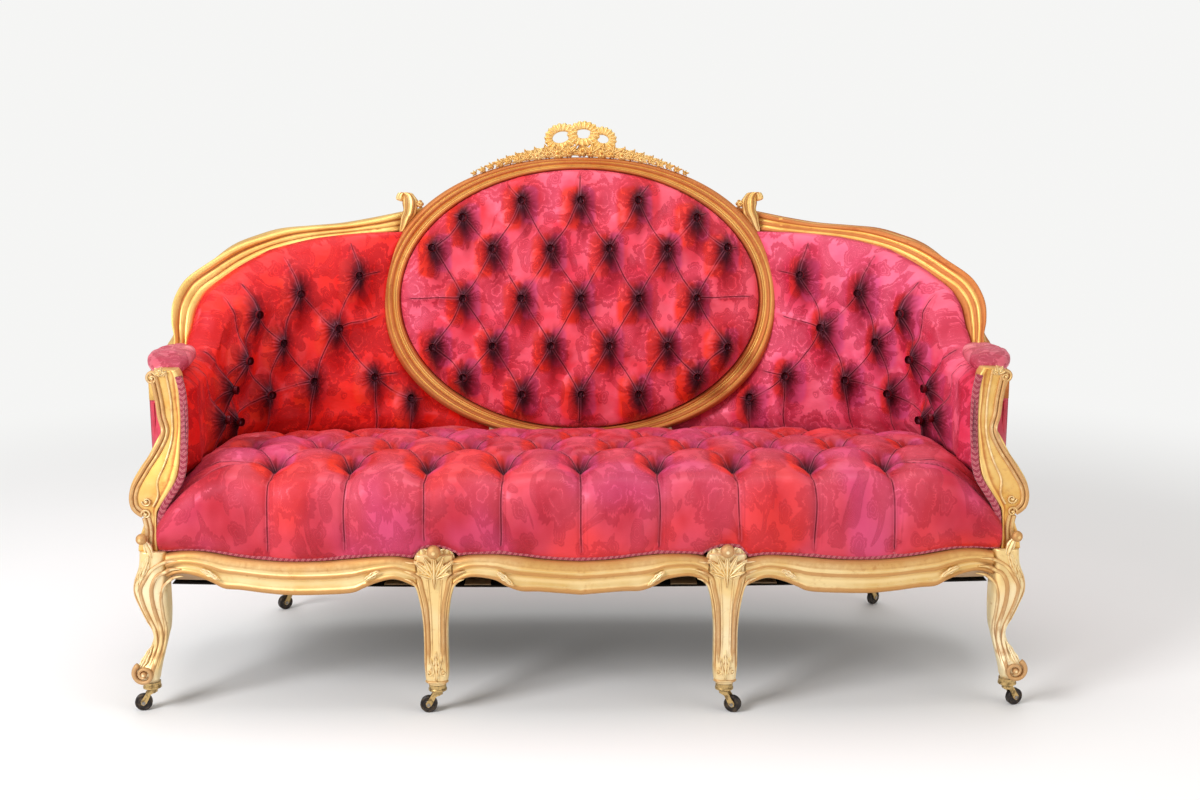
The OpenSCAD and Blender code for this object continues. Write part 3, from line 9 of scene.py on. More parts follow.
import bpy
import numpy as np
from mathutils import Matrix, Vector

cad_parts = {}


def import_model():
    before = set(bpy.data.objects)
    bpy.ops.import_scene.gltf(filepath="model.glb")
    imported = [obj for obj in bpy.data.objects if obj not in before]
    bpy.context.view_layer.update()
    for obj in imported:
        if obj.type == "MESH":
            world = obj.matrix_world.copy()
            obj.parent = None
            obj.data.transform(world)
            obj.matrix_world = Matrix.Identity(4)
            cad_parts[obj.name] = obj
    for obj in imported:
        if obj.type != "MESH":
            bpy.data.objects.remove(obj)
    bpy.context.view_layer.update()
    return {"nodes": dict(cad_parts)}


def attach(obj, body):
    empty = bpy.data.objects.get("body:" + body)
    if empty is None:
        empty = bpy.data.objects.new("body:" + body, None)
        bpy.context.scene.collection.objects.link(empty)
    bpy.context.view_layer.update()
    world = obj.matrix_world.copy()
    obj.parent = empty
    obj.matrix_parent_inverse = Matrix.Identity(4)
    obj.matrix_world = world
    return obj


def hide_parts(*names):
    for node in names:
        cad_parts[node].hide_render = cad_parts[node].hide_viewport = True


LOG = logging.getLogger("sofa")
Array = np.ndarray
Piece = bpy.types.Object
Colour = Tuple[float, float, float]
Rows = Sequence[Sequence[float]]
Table = ClassVar[Rows]
MM = 0.001


class Side(IntEnum):
    """The two sides of the sofa, as the sign of x."""

    LEFT = -1
    RIGHT = 1

    @property
    def label(self) -> str:
        """The side's word in the names of pieces and nodes."""
        return self.name.lower()


# Shader graphs


def _operator(kind: str, swapped: bool = False) -> Callable[["Sock", "Sock | float"], "Sock"]:
    """A method that adds one Math node.

    Args:
        kind: The node's operation.
        swapped: Whether the other value comes first, as in 1 - mask.

    Returns:
        The method.
    """
    def apply(self: "Sock", other: "Sock | float") -> "Sock":
        """Adds the node and returns its value."""
        values = (other, self) if swapped else (self, other)
        return self.graph.math(kind, *values)
    return apply


class Sock:
    """A shader socket with the arithmetic operators, so that masks read as formulas."""

    def __init__(self, graph: "Graph", socket: bpy.types.NodeSocket) -> None:
        """Wraps one output socket of a graph."""
        self.graph = graph
        self.socket = socket

    __add__ = _operator("ADD")
    __radd__ = _operator("ADD", True)
    __sub__ = _operator("SUBTRACT")
    __rsub__ = _operator("SUBTRACT", True)
    __mul__ = _operator("MULTIPLY")
    __rmul__ = _operator("MULTIPLY", True)
    __truediv__ = _operator("DIVIDE")


class Graph:
    """The node tree of one material."""

    def __init__(self, name: str) -> None:
        """Makes an empty material of that name with one Principled shader.

        Args:
            name: The material's name.
        """
        self.material = bpy.data.materials.new(name)
        self.material.use_nodes = True
        self.tree = self.material.node_tree
        self.tree.nodes.clear()
        self.out = self.tree.nodes.new("ShaderNodeOutputMaterial")
        self.shader = self.tree.nodes.new("ShaderNodeBsdfPrincipled")
        self.tree.links.new(self.shader.outputs[0], self.out.inputs["Surface"])

    def node(self, kind: str, settings: Optional[Dict] = None, output: "int | str" = 0, **values) -> Sock:
        """Adds one node.

        Args:
            kind: The node's type without the ShaderNode prefix.
            settings: Attributes that are set before the sockets.
            output: The output to return, by index or name.
            **values: Input sockets by name, with _ for a space, or in0, in1 and so on by index.

        Returns:
            The wrapped output.
        """
        made = self.tree.nodes.new("ShaderNode" + kind)
        for key, value in (settings or {}).items():
            setattr(made, key, value)
        for key, value in values.items():
            by_index = key.startswith("in") and key[2:].isdigit()
            self.feed(made.inputs[int(key[2:]) if by_index else key.replace("_", " ")], value)
        return Sock(self, made.outputs[output])

    def feed(self, socket: bpy.types.NodeSocket, value: "Sock | float | Sequence[float]") -> None:
        """Links or sets one input socket."""
        if isinstance(value, Sock):
            self.tree.links.new(value.socket, socket)
        elif isinstance(value, (tuple, list)):
            opaque = len(socket.default_value) == 4 and len(value) == 3
            socket.default_value = (*value, 1.0) if opaque else tuple(value)
        else:
            socket.default_value = value

    def math(self, operation: str, *values: "Sock | float") -> Sock:
        """One Math node."""
        numbered = {f"in{k}": value for k, value in enumerate(values)}
        return self.node("Math", {"operation": operation}, **numbered)

    def vector(self, operation: str, *values: "Sock | Sequence[float]", output: int = 0) -> Sock:
        """One Vector Math node."""
        numbered = {f"in{k}": value for k, value in enumerate(values)}
        return self.node("VectorMath", {"operation": operation}, output, **numbered)

    def scaled(self, vector: Sock, size: "float | Sequence[float]") -> Sock:
        """A vector times one size or three."""
        three = (size, size, size) if isinstance(size, float) else size
        return self.vector("MULTIPLY", vector, three)

    def mix(self, factor: "Sock | float", low: "Sock | Colour", high: "Sock | Colour",
            blend: str = "MIX") -> Sock:
        """Mixes two colours."""
        settings = {"data_type": "RGBA", "blend_type": blend, "clamp_factor": True}
        return self.node("Mix", settings, 2, in0=factor, in6=low, in7=high)

    def smooth(self, value: Sock, low: float, high: float) -> Sock:
        """0 below low, 1 above high, smooth between."""
        settings = {"interpolation_type": "SMOOTHSTEP"}
        return self.node("MapRange", settings, in0=value, in1=low, in2=high, in3=0.0, in4=1.0)

    def fade(self, value: Sock, low: float, high: float) -> Sock:
        """1 below low, 0 above high, smooth between."""
        return 1.0 - self.smooth(value, low, high)

    def coords(self) -> Sock:
        """Object coordinates."""
        return self.node("TexCoord", output="Object")

    def cloth_coords(self, name: str = "cloth") -> Sock:
        """One of the piece's own maps, in metres along the cloth."""
        return self.node("UVMap", {"uv_map": name})

    def parts(self, vector: Sock) -> Tuple[Sock, ...]:
        """The three parts of a vector.

        Args:
            vector: the vector.

        Returns:
            Its X, Y and Z.
        """
        made = self.tree.nodes.new("ShaderNodeSeparateXYZ")
        self.feed(made.inputs[0], vector)
        return tuple(Sock(self, output) for output in made.outputs)

    def attribute(self, name: str) -> Sock:
        """A number stored on the piece's points."""
        return self.node("Attribute", {"attribute_name": name}, output="Fac")

    def noise(self, vector: Sock, scale: float, detail: float = 3.0, rough: float = 0.5) -> Sock:
        """A noise value about 0.5."""
        return self.node("TexNoise", Vector=vector, Scale=scale, Detail=detail, Roughness=rough)

    def wander(self, vector: Sock, scale: float, detail: float, far: float) -> Sock:
        """Coordinates that a noise has moved by up to half of far."""
        cloud = self.node("TexNoise", output="Color", Vector=vector, Scale=scale, Detail=detail)
        return self.vector("ADD", vector, self.scaled(self.vector("SUBTRACT", cloud, (0.5, 0.5, 0.5)), far))

    def magnitude(self, value: Sock) -> Sock:
        """A number without its sign."""
        return self.math("ABSOLUTE", value)

    def bump(self, height: Sock, strength: float, distance: float) -> None:
        """Feeds a height through a Bump node to the shader's normal."""
        self.set(Normal=self.node("Bump", Strength=strength, Distance=distance, Height=height))

    def set(self, **values: "Sock | float | Sequence[float]") -> None:
        """Feeds the Principled shader's sockets by name, with _ for a space."""
        for key, value in values.items():
            self.feed(self.shader.inputs[key.replace("_", " ")], value)


# Finishes


@dataclass(frozen=True)
class Finish:
    """One finish of the sofa."""

    name: str
    colour: Colour

    def material(self) -> bpy.types.Material:
        """The finish's material, made once.

        Returns:
            The material.
        """
        title = self.name + "_finish"
        found = bpy.data.materials.get(title)
        if found:
            return found
        graph = Graph(title)
        self.dress(graph)
        graph.material.diffuse_color = (*self.colour, 1.0)
        return graph.material

    def dress(self, graph: Graph) -> None:
        """Builds the shader graph."""
        graph.set(Base_Color=self.colour)


@dataclass(frozen=True)
class Gilding(Finish):
    """Water gilding over red bole, rubbed through in patches and dull in the hollows."""

    bole: Colour = (0.36, 0.1, 0.035)
    pale: Colour = (0.93, 0.8, 0.52)
    wear: float = 0.5
    worked: bool = False

    def dress(self, graph: Graph) -> None:
        """Builds the shader graph.

        Args:
            graph: the graph that is filled.
        """
        at = graph.coords()
        broad = graph.noise(at, 7.0, 4.0, 0.6)
        fine = graph.noise(at, 90.0, 5.0, 0.62)
        leaf = graph.noise(graph.scaled(at, (1.0, 1.0, 2.2)), 28.0, 3.0, 0.5)
        tone = graph.mix(graph.smooth(broad, 0.36, 0.66), self.colour, self.pale)
        rubbed = graph.smooth(fine * 0.55 + leaf * 0.45, 0.6 - 0.1 * self.wear, 0.72)
        tone = graph.mix(rubbed * (0.3 + 0.35 * self.wear), tone, self.bole)
        rough = 0.34 + 0.22 * broad + 0.16 * rubbed
        if self.worked:
            hollow = graph.attribute("hollow")
            dirt = graph.smooth(hollow + (fine - 0.5) * 0.5, 0.25, 0.95)
            tone = graph.mix(dirt * 0.8, tone, self.bole)
            crest = graph.smooth(0.0 - hollow + (leaf - 0.5) * 0.5, 0.15, 0.8)
            tone = graph.mix(crest * 0.45, tone, self.pale)
            rough = rough + dirt * 0.18
        graph.set(Base_Color=tone, Roughness=rough, Metallic=0.62, Specular_IOR_Level=0.5)
        graph.bump(fine * 0.6 + leaf * 0.4, 0.22, 0.0012)


@dataclass(frozen=True)
class Damask(Finish):
    """Silk damask: a satin ground with peonies and leaves in a duller weave of the same silk, with painted
    light and painted shade from its buttons and pleats.
    """

    pale: Colour = (0.86, 0.105, 0.19)
    # Painted light and painted shade: the orange-red and the pink-magenta slants on either side of each
    # button; the same two tints also colour random broad patches.
    warm: Colour = (0.84, 0.038, 0.014)
    cool: Colour = (0.66, 0.08, 0.23)
    # Painted shade at the core of each button's pit, and a painted highlight on the puffs between the
    # buttons.
    shade: Colour = (0.018, 0.0005, 0.002)
    crest: Colour = (0.97, 0.2, 0.3)
    # Painted shade beside the pleats.
    painted_pleat_shade: Colour = (0.62, 0.34, 0.4)
    weave: Colour = (0.56, 0.22, 0.3)
    # Painted shade around each button's pit and in the dark rays of its gathers.
    drawn_in: Colour = (0.42, 0.1, 0.14)
    gather: Colour = (0.4, 0.06, 0.1)
    # Painted shadow in each crease, with a painted highlight beside it.
    crease: Colour = (0.06, 0.002, 0.008)
    painted_crease_highlight: Colour = (0.95, 0.3, 0.42)
    flower_size: float = 0.11
    contrast: float = 0.75
    patches: float = 0.15

    def bloom(self, graph: Graph, at: Sock, size: float, petals: float, radius: float, seed: float) -> Sock:
        """A field of flower heads.

        Args:
            graph: The graph to add to.
            at: Cloth coordinates in metres.
            size: Distance between two flowers.
            petals: Number of petals.
            radius: Radius of a flower as a share of size.
            seed: Shift of the pattern.

        Returns:
            A mask of the flowers.
        """
        grid = graph.vector("ADD", graph.scaled(at, (1.0 / size, 1.0 / size, 0.0)), (seed, seed * 0.7, 0.0))
        settings = {"voronoi_dimensions": "2D"}
        centre = graph.node("TexVoronoi", settings, "Position", Vector=grid, Scale=1.0, Randomness=0.6)
        from_centre = graph.vector("SUBTRACT", grid, centre)
        x, y, _ = graph.parts(from_centre)
        angle = graph.math("ARCTAN2", y, x)
        reach = graph.vector("LENGTH", from_centre, output=1)
        lobes = graph.magnitude(graph.math("SINE", angle * (petals / 2.0) + seed))
        teeth = graph.math("SINE", angle * (petals * 6.0))
        edge = radius * (0.7 + 0.3 * lobes + 0.035 * teeth)
        flower = graph.fade(reach - edge, -0.012, 0.012)
        ring = graph.math("FRACT", (reach / edge) * 2.6 + 0.12 * lobes)
        lace = graph.smooth(ring, 0.04, 0.14) * graph.fade(ring, 0.86, 0.98)
        slits = graph.math("SINE", angle * (petals * 11.0)) * graph.smooth(ring, 0.45, 0.8)
        return flower * lace * (1.0 - graph.smooth(slits, 0.35, 0.75) * 0.85)

    def figures(self, graph: Graph, at: Sock) -> Sock:
        """The woven figures: peonies, small flowers and veined leaves.

        Args:
            graph: the graph that is filled.
            at: the cloth coordinates.

        Returns:
            The mask of the figures.
        """
        moved = graph.wander(at, 14.0, 2.0, 0.05)
        peony = self.bloom(graph, moved, self.flower_size, 6.0, 0.4, 3.0)
        small = self.bloom(graph, moved, self.flower_size * 0.5, 5.0, 0.3, 7.3)
        swept = graph.wander(at, 7.0, 1.0, 0.2)
        leaves = graph.noise(graph.scaled(swept, (1.0, 0.45, 1.0)), 34.0, 0.5, 0.4)
        leaf = graph.smooth(leaves, 0.575, 0.59)
        vein = graph.smooth(graph.magnitude(graph.math("SINE", leaves * 170.0)), 0.1, 0.45)
        return graph.math("MAXIMUM", graph.math("MAXIMUM", peony, small * 0.9), leaf * vein * 0.9)

    def dress(self, graph: Graph) -> None:
        """Builds the shader graph.

        Args:
            graph: the graph that is filled.
        """
        at = graph.cloth_coords()
        du, dw, _ = graph.parts(graph.cloth_coords("tuft"))
        figure = self.figures(graph, at)
        cloud = graph.noise(at, 6.0, 3.0, 0.6)
        drift = graph.noise(at, 15.0, 3.0, 0.6) - 0.5
        far = graph.attribute("far") * MM
        tone = self.ground(graph, at, far, cloud, drift)
        off, near = graph.magnitude(graph.attribute("pleat")), graph.attribute("near")
        # Painted shade beside each pleat.
        low = graph.fade(off, 0.5, 12.0) * graph.fade(near, 8.0, 14.0)
        tone = graph.mix(low * 0.55, tone, self.painted_pleat_shade, "MULTIPLY")
        tone = graph.mix(figure * self.contrast, tone, self.weave, "MULTIPLY")
        # Painted shade around each pit, in the rays of its gathers and at its core.
        rays = graph.math("SINE", graph.math("ARCTAN2", dw, du) * 15.0 + graph.noise(at, 30.0, 2.0) * 12.0)
        gathered = graph.fade(far, 0.016, 0.04)
        around = graph.fade(far + drift * 0.008, 0.01, 0.044)
        tone = graph.mix(around * 0.75, tone, self.drawn_in, "MULTIPLY")
        tone = graph.mix(gathered * (0.12 + 0.2 * rays), tone, self.gather, "MULTIPLY")
        tone = graph.mix(graph.fade(far + drift * 0.004, 0.006, 0.0255), tone, self.shade)
        # Painted shadow along each crease and a painted highlight beside it.
        close = graph.fade(near, 5.0, 8.0)
        broken = graph.smooth(graph.noise(at, 24.0, 2.0), 0.34, 0.52)
        line = graph.fade(off, 0.3, 1.5) * close * (0.25 + 0.75 * broken)
        rim = graph.smooth(off, 1.2, 2.0) * graph.fade(off, 2.2, 4.5) * close
        tone = graph.mix(rim * 0.12, tone, self.painted_crease_highlight)
        tone = graph.mix(line * 0.8, tone, self.crease)
        wrinkles = graph.noise(graph.scaled(at, (1.0, 2.2, 1.0)), 36.0, 3.0, 0.55)
        soft = graph.noise(at, 17.0, 2.0, 0.5)
        graph.set(Base_Color=tone, Roughness=0.34 + 0.16 * figure + 0.1 * cloud + around * 0.3)
        graph.set(Sheen_Weight=0.06, Sheen_Roughness=0.35, Sheen_Tint=(1.0, 0.4, 0.6),
                  IOR=1.55, Specular_IOR_Level=0.5, Specular_Tint=(1.0, 0.42, 0.62))
        height = wrinkles * 0.45 + soft * 0.8 + figure * 0.1 + gathered * rays * 0.22 - line * 0.9
        graph.bump(height, 0.7, 0.003)

    def ground(self, graph: Graph, at: Sock, far: Sock, cloud: Sock, drift: Sock) -> Sock:
        """The satin's colour: a painted highlight on the puffs, painted light and painted shade on the slants
        beside each button, and random broad patches.

        Args:
            graph: The graph to add to.
            at: Cloth coordinates in metres.
            far: Distance from the nearest button in metres.
            cloud: A slow noise.
            drift: A quicker noise about 0.

        Returns:
            The colour.
        """
        # Painted light and painted shade on the two slants beside each button.
        warm = graph.smooth(graph.attribute("warm") + drift * 0.7, 0.2, 0.7)
        cool = graph.smooth(graph.attribute("cool") + drift * 0.7, 0.25, 0.75)
        tone = graph.mix(graph.smooth(cloud, 0.38, 0.62), self.colour, self.pale)
        # Painted highlight on the puffs between the buttons.
        painted_puff_highlight = graph.smooth(far + drift * 0.03, 0.04, 0.062) * graph.fade(far + drift * 0.06, 0.07, 0.12)
        tone = graph.mix(painted_puff_highlight * 0.45, tone, self.crest)
        tone = graph.mix(warm, tone, self.warm)
        tone = graph.mix(cool * 0.8, tone, self.cool)
        # Random broad patches in the same two tints.
        broad = graph.noise(at, 4.2, 2.0, 0.5)
        tone = graph.mix(graph.smooth(broad, 0.5, 0.66) * self.patches, tone, self.warm)
        return graph.mix(graph.smooth(broad, 0.5, 0.36) * self.patches, tone, self.cool)


@dataclass(frozen=True)
class PlainSilk(Finish):
    """The same silk in Object coordinates, for outside backs."""

    def dress(self, graph: Graph) -> None:
        """Builds the shader graph.

        Args:
            graph: the graph that is filled.
        """
        at = graph.coords()
        figure = graph.smooth(graph.noise(graph.scaled(at, (1.0, 1.0, 0.7)), 42.0, 3.0, 0.5), 0.5, 0.56)
        cloud = graph.noise(at, 5.0, 3.0)
        tone = graph.mix(cloud, self.colour, (0.62, 0.06, 0.12))
        graph.set(Base_Color=graph.mix(figure * 0.35, tone, (0.34, 0.014, 0.034)), Roughness=0.5)
        graph.bump(cloud + figure * 0.1, 0.3, 0.0015)


@dataclass(frozen=True)
class Braid(Finish):
    """Chevron gimp in two colours."""

    light: Colour = (0.56, 0.12, 0.15)
    repeat: float = 0.011
    width: float = 0.014

    def dress(self, graph: Graph) -> None:
        """Builds the shader graph.

        Args:
            graph: the graph that is filled.
        """
        along, across, _ = graph.parts(graph.cloth_coords())
        chevron = along / self.repeat + 0.9 * graph.magnitude(across / self.width - 0.5)
        turn = graph.math("FRACT", chevron)
        stripe = graph.smooth(graph.magnitude(turn - 0.5), 0.17, 0.3)
        strand = graph.magnitude(graph.math("SINE", chevron * (math.pi * 3.0)))
        tone = graph.mix(stripe, self.colour, self.light)
        tone = graph.mix((1.0 - strand) * 0.5, tone, (0.12, 0.01, 0.02))
        graph.set(Base_Color=tone, Roughness=0.62, Sheen_Weight=0.3)
        graph.bump(strand + stripe * 0.3, 0.7, 0.0012)


@dataclass(frozen=True)
class Metal(Finish):
    """Cast or drawn metal with age in it."""

    dark: Colour = (0.05, 0.035, 0.02)
    shine: float = 0.34

    def dress(self, graph: Graph) -> None:
        """Builds the shader graph.

        Args:
            graph: the graph that is filled.
        """
        at = graph.coords()
        cloud = graph.noise(at, 120.0, 5.0, 0.6)
        stain = graph.smooth(cloud, 0.46, 0.66)
        graph.set(Base_Color=graph.mix(stain * 0.65, self.colour, self.dark), Metallic=0.9,
                  Roughness=self.shine + 0.25 * stain)
        graph.bump(cloud, 0.15, 0.0006)


@dataclass(frozen=True)
class PlainWood(Finish):
    """Unfinished beech with fine flecks."""

    def dress(self, graph: Graph) -> None:
        """Builds the shader graph.

        Args:
            graph: the graph that is filled.
        """
        at = graph.coords()
        grain = graph.noise(graph.scaled(at, (2.0, 30.0, 30.0)), 3.0, 5.0, 0.6)
        fleck = graph.noise(graph.scaled(at, (30.0, 220.0, 220.0)), 1.5, 2.0, 0.5)
        tone = graph.mix(graph.smooth(grain, 0.3, 0.7), self.colour, (0.46, 0.32, 0.19))
        tone = graph.mix(graph.smooth(fleck, 0.62, 0.75) * 0.4, tone, (0.3, 0.18, 0.09))
        graph.set(Base_Color=tone, Roughness=0.6 + 0.1 * grain)
        graph.bump(grain, 0.2, 0.0006)


@dataclass(frozen=True)
class Weave(Finish):
    """A plain woven cloth in Object coordinates: webbing, hessian or the black cloth below."""

    yarn: float = 0.0022
    mark: Colour = (0.4, 0.3, 0.18)

    def dress(self, graph: Graph) -> None:
        """Builds the shader graph.

        Args:
            graph: the graph that is filled.
        """
        x, y, z = graph.parts(graph.coords())
        turns = math.pi / self.yarn
        warp, weft = (graph.magnitude(graph.math("SINE", value * turns)) for value in (x, y + z))
        weave = warp * weft
        graph.set(Base_Color=graph.mix(1.0 - weave, self.colour, self.mark), Roughness=0.88)
        graph.bump(weave, 0.5, 0.0008)


GILT = Gilding("gilt_wood", (0.8, 0.58, 0.25))
GILT_WORKED = Gilding("gilt_wood_carved", (0.78, 0.5, 0.17), worked=True,
                      bole=(0.52, 0.24, 0.07), pale=(0.9, 0.7, 0.36))
RAIL_GILT = Gilding("rail_gilt", (0.8, 0.43, 0.1), worked=True, wear=0.8,
                    bole=(0.5, 0.13, 0.035), pale=(0.96, 0.66, 0.22))
GILT_CARVED = Gilding("gilt_carved", (0.88, 0.64, 0.28), worked=True, wear=0.4,
                      bole=(0.52, 0.26, 0.09), pale=(0.96, 0.83, 0.54))
BALL_GILT = Gilding("gilt_ball", (0.8, 0.54, 0.22), worked=True, wear=0.3,
                    bole=(0.52, 0.26, 0.09), pale=(0.9, 0.72, 0.4))
ARM_GILT = Gilding("gilt_arm", (0.78, 0.42, 0.09), worked=True, wear=0.8,
                   bole=(0.46, 0.14, 0.03), pale=(0.92, 0.66, 0.26))
CREST_GILT = Gilding("gilt_crest", (0.84, 0.52, 0.14), worked=True,
                     bole=(0.4, 0.16, 0.04), pale=(0.95, 0.76, 0.38))
RAIL_WOOD = Gilding("rail_wood", (0.62, 0.38, 0.13), wear=0.8)
SILK = Damask("silk", (0.74, 0.032, 0.052), pale=(0.9, 0.102, 0.16))
# Painted light: the left wing's copy of the silk is painted orange-red, as if turned from the key light, and
# the right wing's pinker, as if facing it.
SILK_LEFT_PAINTED_SHADED = Damask("silk_left", (0.78, 0.012, 0.005), pale=(0.88, 0.024, 0.014),
                   cool=(0.62, 0.02, 0.026), crest=(0.95, 0.042, 0.026))
SILK_RIGHT_PAINTED_LIT = Damask("silk_right", (0.74, 0.042, 0.1), pale=(0.9, 0.115, 0.22), warm=(0.8, 0.04, 0.04))
BACK_SILK = PlainSilk("silk_back", (0.52, 0.024, 0.048))
PAD_SILK = Damask("silk_pad", (0.6, 0.09, 0.13), pale=(0.78, 0.26, 0.3), crest=(0.84, 0.34, 0.4))
# Painted shade: the seat's copy of the silk is darker, against the light that falls on its top.
SEAT_SILK_PAINTED_SHADE = Damask("silk_seat", (0.44, 0.015, 0.025), pale=(0.62, 0.05, 0.08), crest=(0.82, 0.13, 0.19),
                   contrast=0.5, patches=0.55)
# Painted shade: the button caps are near black, as the shade in their pits.
BUTTON_SILK_PAINTED_SHADE = Damask("silk_buttons", (0.1, 0.003, 0.006), pale=(0.13, 0.004, 0.009),
                     crest=(0.13, 0.004, 0.009), patches=0.0)
GIMP = Braid("gimp", (0.36, 0.016, 0.05))
BRASS = Metal("aged_brass", (0.62, 0.43, 0.18))
IRON = Metal("dark_iron", (0.045, 0.04, 0.04), dark=(0.16, 0.12, 0.08), shine=0.42)
STEEL = Metal("spring_steel", (0.42, 0.4, 0.37), dark=(0.16, 0.1, 0.06))
AXLE = Metal("axle_steel", (0.36, 0.33, 0.3))
BEECH = PlainWood("beech", (0.66, 0.5, 0.33))
LINEN = Weave("linen", (0.62, 0.5, 0.34))
COVER = Weave("dust_cloth", (0.018, 0.018, 0.02), yarn=0.0012, mark=(0.004, 0.004, 0.004))

# The first part that a node's name holds gives its finish.
NODE_FINISHES: Tuple[Tuple[str, Finish], ...] = (
    ("castor_wheel", IRON), ("castor_axle", AXLE), ("castor", BRASS), ("seat_springs", STEEL),
    ("block_screws", STEEL), ("webbing", LINEN), ("spring_canvas", LINEN), ("dust_cover", COVER),
    ("side_rail", BEECH), ("rear_rail", BEECH), ("cross_rails", BEECH), ("corner_blocks", BEECH),
    ("oval_posts", BEECH), ("rear_leg", RAIL_WOOD), ("cushion", BACK_SILK), ("pad", BACK_SILK),
    ("buttons", BACK_SILK), ("wing_backs", BACK_SILK), ("back_panel", BACK_SILK), ("gimp", GIMP))


def finish_nodes(nodes: Dict[str, Piece]) -> None:
    """Gives every CAD node its finish, by the part that its name holds."""
    for name, obj in nodes.items():
        if obj.type == "MESH":
            finish = next((finish for part, finish in NODE_FINISHES if part in name), GILT)
            obj.data.materials.clear()
            obj.data.materials.append(finish.material())


# Mesh work


MERGE = 2e-6
CLOSING_CLOTH = 60.0


def skin(name: str, points: Array, wrap: bool = False, ends: bool = False, loop: bool = False,
         cloth: Optional[Tuple[Array, Array]] = None, tuft: Optional[Tuple[Array, Array]] = None,
         marks: Optional[Dict[str, Array]] = None) -> Piece:
    """A surface through a net of points, started from a grid primitive.

    Args:
        name: The new object's name.
        points: Places in mm, with shape (rows, columns, 3).
        wrap: Joins the last column to the first.
        ends: Closes what stays open.
        loop: Joins the last row to the first.
        cloth: Cloth coordinates of each place in mm; lengths along the net by default.
        tuft: Offset of each place from its nearest button in mm; far away by default.
        marks: Numbers to keep on the points, each with shape (rows, columns).

    Returns:
        The new object.
    """
    points = closed(points, wrap, loop)
    marks = {key: closed(value, wrap, loop) for key, value in (marks or {}).items()}
    rows, columns = points.shape[:2]
    maps = {"cloth": cloth or lengths(points)}
    if tuft:
        maps["tuft"] = tuft
    bpy.ops.object.select_all(action="DESELECT")
    bpy.ops.mesh.primitive_grid_add(x_subdivisions=columns - 1, y_subdivisions=rows - 1, size=2.0)
    obj = bpy.context.object
    mesh = obj.data
    obj.name = mesh.name = name
    flat = points_of(obj)
    column = np.rint((flat[:, 0] + 1) / 2 * (columns - 1)).astype(int)
    row = np.rint((flat[:, 1] + 1) / 2 * (rows - 1)).astype(int)
    mesh.vertices.foreach_set("co", (points[row, column] * MM).astype(np.float32).ravel())
    for key, value in marks.items():
        store(obj, key, value[row, column])
    while mesh.uv_layers:
        mesh.uv_layers.remove(mesh.uv_layers[0])
    index = np.empty(len(mesh.loops), np.int32)
    mesh.loops.foreach_get("vertex_index", index)
    for key, (u, w) in maps.items():
        if len(u) < rows:
            u, w = closed(u, False, True, last=True), np.concatenate([w, w[-1:] + CLOSING_CLOTH])
        flat_map = np.stack([u[row, column], w[row, column]], -1)[index] * MM
        mesh.uv_layers.new(name=key).data.foreach_set("uv", flat_map.astype(np.float32).ravel())
    mesh.update()
    bpy.ops.object.mode_set(mode="EDIT")
    bpy.ops.mesh.select_all(action="SELECT")
    bpy.ops.mesh.remove_doubles(threshold=MERGE)
    bpy.ops.mesh.select_all(action="SELECT")
    if ends:
        bpy.ops.mesh.fill_holes(sides=0)
        bpy.ops.mesh.select_all(action="SELECT")
    bpy.ops.mesh.normals_make_consistent(inside=False)
    bpy.ops.object.mode_set(mode="OBJECT")
    bpy.ops.object.shade_smooth()
    return obj


def closed(net: Array, wrap: bool, loop: bool, last: bool = False) -> Array:
    """A net whose first column or row is repeated after its last.

    Args:
        net: The net, with shape (rows, columns, ...).
        wrap: Repeats the first column.
        loop: Repeats the first row.
        last: Repeats the last row instead of the first.

    Returns:
        The longer net.
    """
    if wrap:
        net = np.concatenate([net, net[:, :1]], axis=1)
    if loop:
        net = np.concatenate([net, net[-1:] if last else net[:1]])
    return net


def lengths(points: Array) -> Tuple[Array, Array]:
    """Lengths along the columns and along the rows of a net, as cloth coordinates.

    Args:
        points: the net.

    Returns:
        The two arrays of lengths.
    """
    across = np.linalg.norm(np.diff(points, axis=1), axis=-1).mean(axis=0)
    along = np.linalg.norm(np.diff(points, axis=0), axis=-1).mean(axis=1)
    u = np.concatenate([[0], np.cumsum(across)])[None, :]
    w = np.concatenate([[0], np.cumsum(along)])[:, None]
    return u + 0 * w, w + 0 * u


def run_of(path: Array) -> Array:
    """Length along a path at each of its points."""
    return np.concatenate([[0], np.cumsum(np.linalg.norm(np.diff(path, axis=0), axis=-1))])


def store(obj: Piece, name: str, values: Array) -> None:
    """Stores a number per point."""
    made = obj.data.attributes.new(name, "FLOAT", "POINT")
    made.data.foreach_set("value", np.asarray(values, np.float32))


def points_of(obj: Piece) -> Array:
    """The object's points as an array.

    Args:
        obj: the object.

    Returns:
        Points, one to a row.
    """
    flat = np.empty(len(obj.data.vertices) * 3)
    obj.data.vertices.foreach_get("co", flat)
    return flat.reshape(-1, 3)


def joined(parts: Sequence[Piece], name: str) -> Piece:
    """Joins objects into the first of them and names it.

    Args:
        parts: the objects.
        name: the name of the result.

    Returns:
        The joined object.
    """
    bpy.ops.object.select_all(action="DESELECT")
    for part in parts:
        part.select_set(True)
    bpy.context.view_layer.objects.active = parts[0]
    bpy.ops.object.join()
    parts[0].name = parts[0].data.name = name
    return parts[0]


def placed(obj: Piece, slot: str, *nodes: str) -> Piece:
    """Attaches a piece to the frame's body, hides the nodes that it stands for, and reports it.

    Args:
        obj: the piece.
        slot: not used.
        nodes: the nodes that it stands for.

    Returns:
        The same piece.
    """
    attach(obj, "frame")
    if nodes:
        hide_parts(*nodes)
    LOG.info("%s: %d faces", obj.name, len(obj.data.polygons))
    return obj


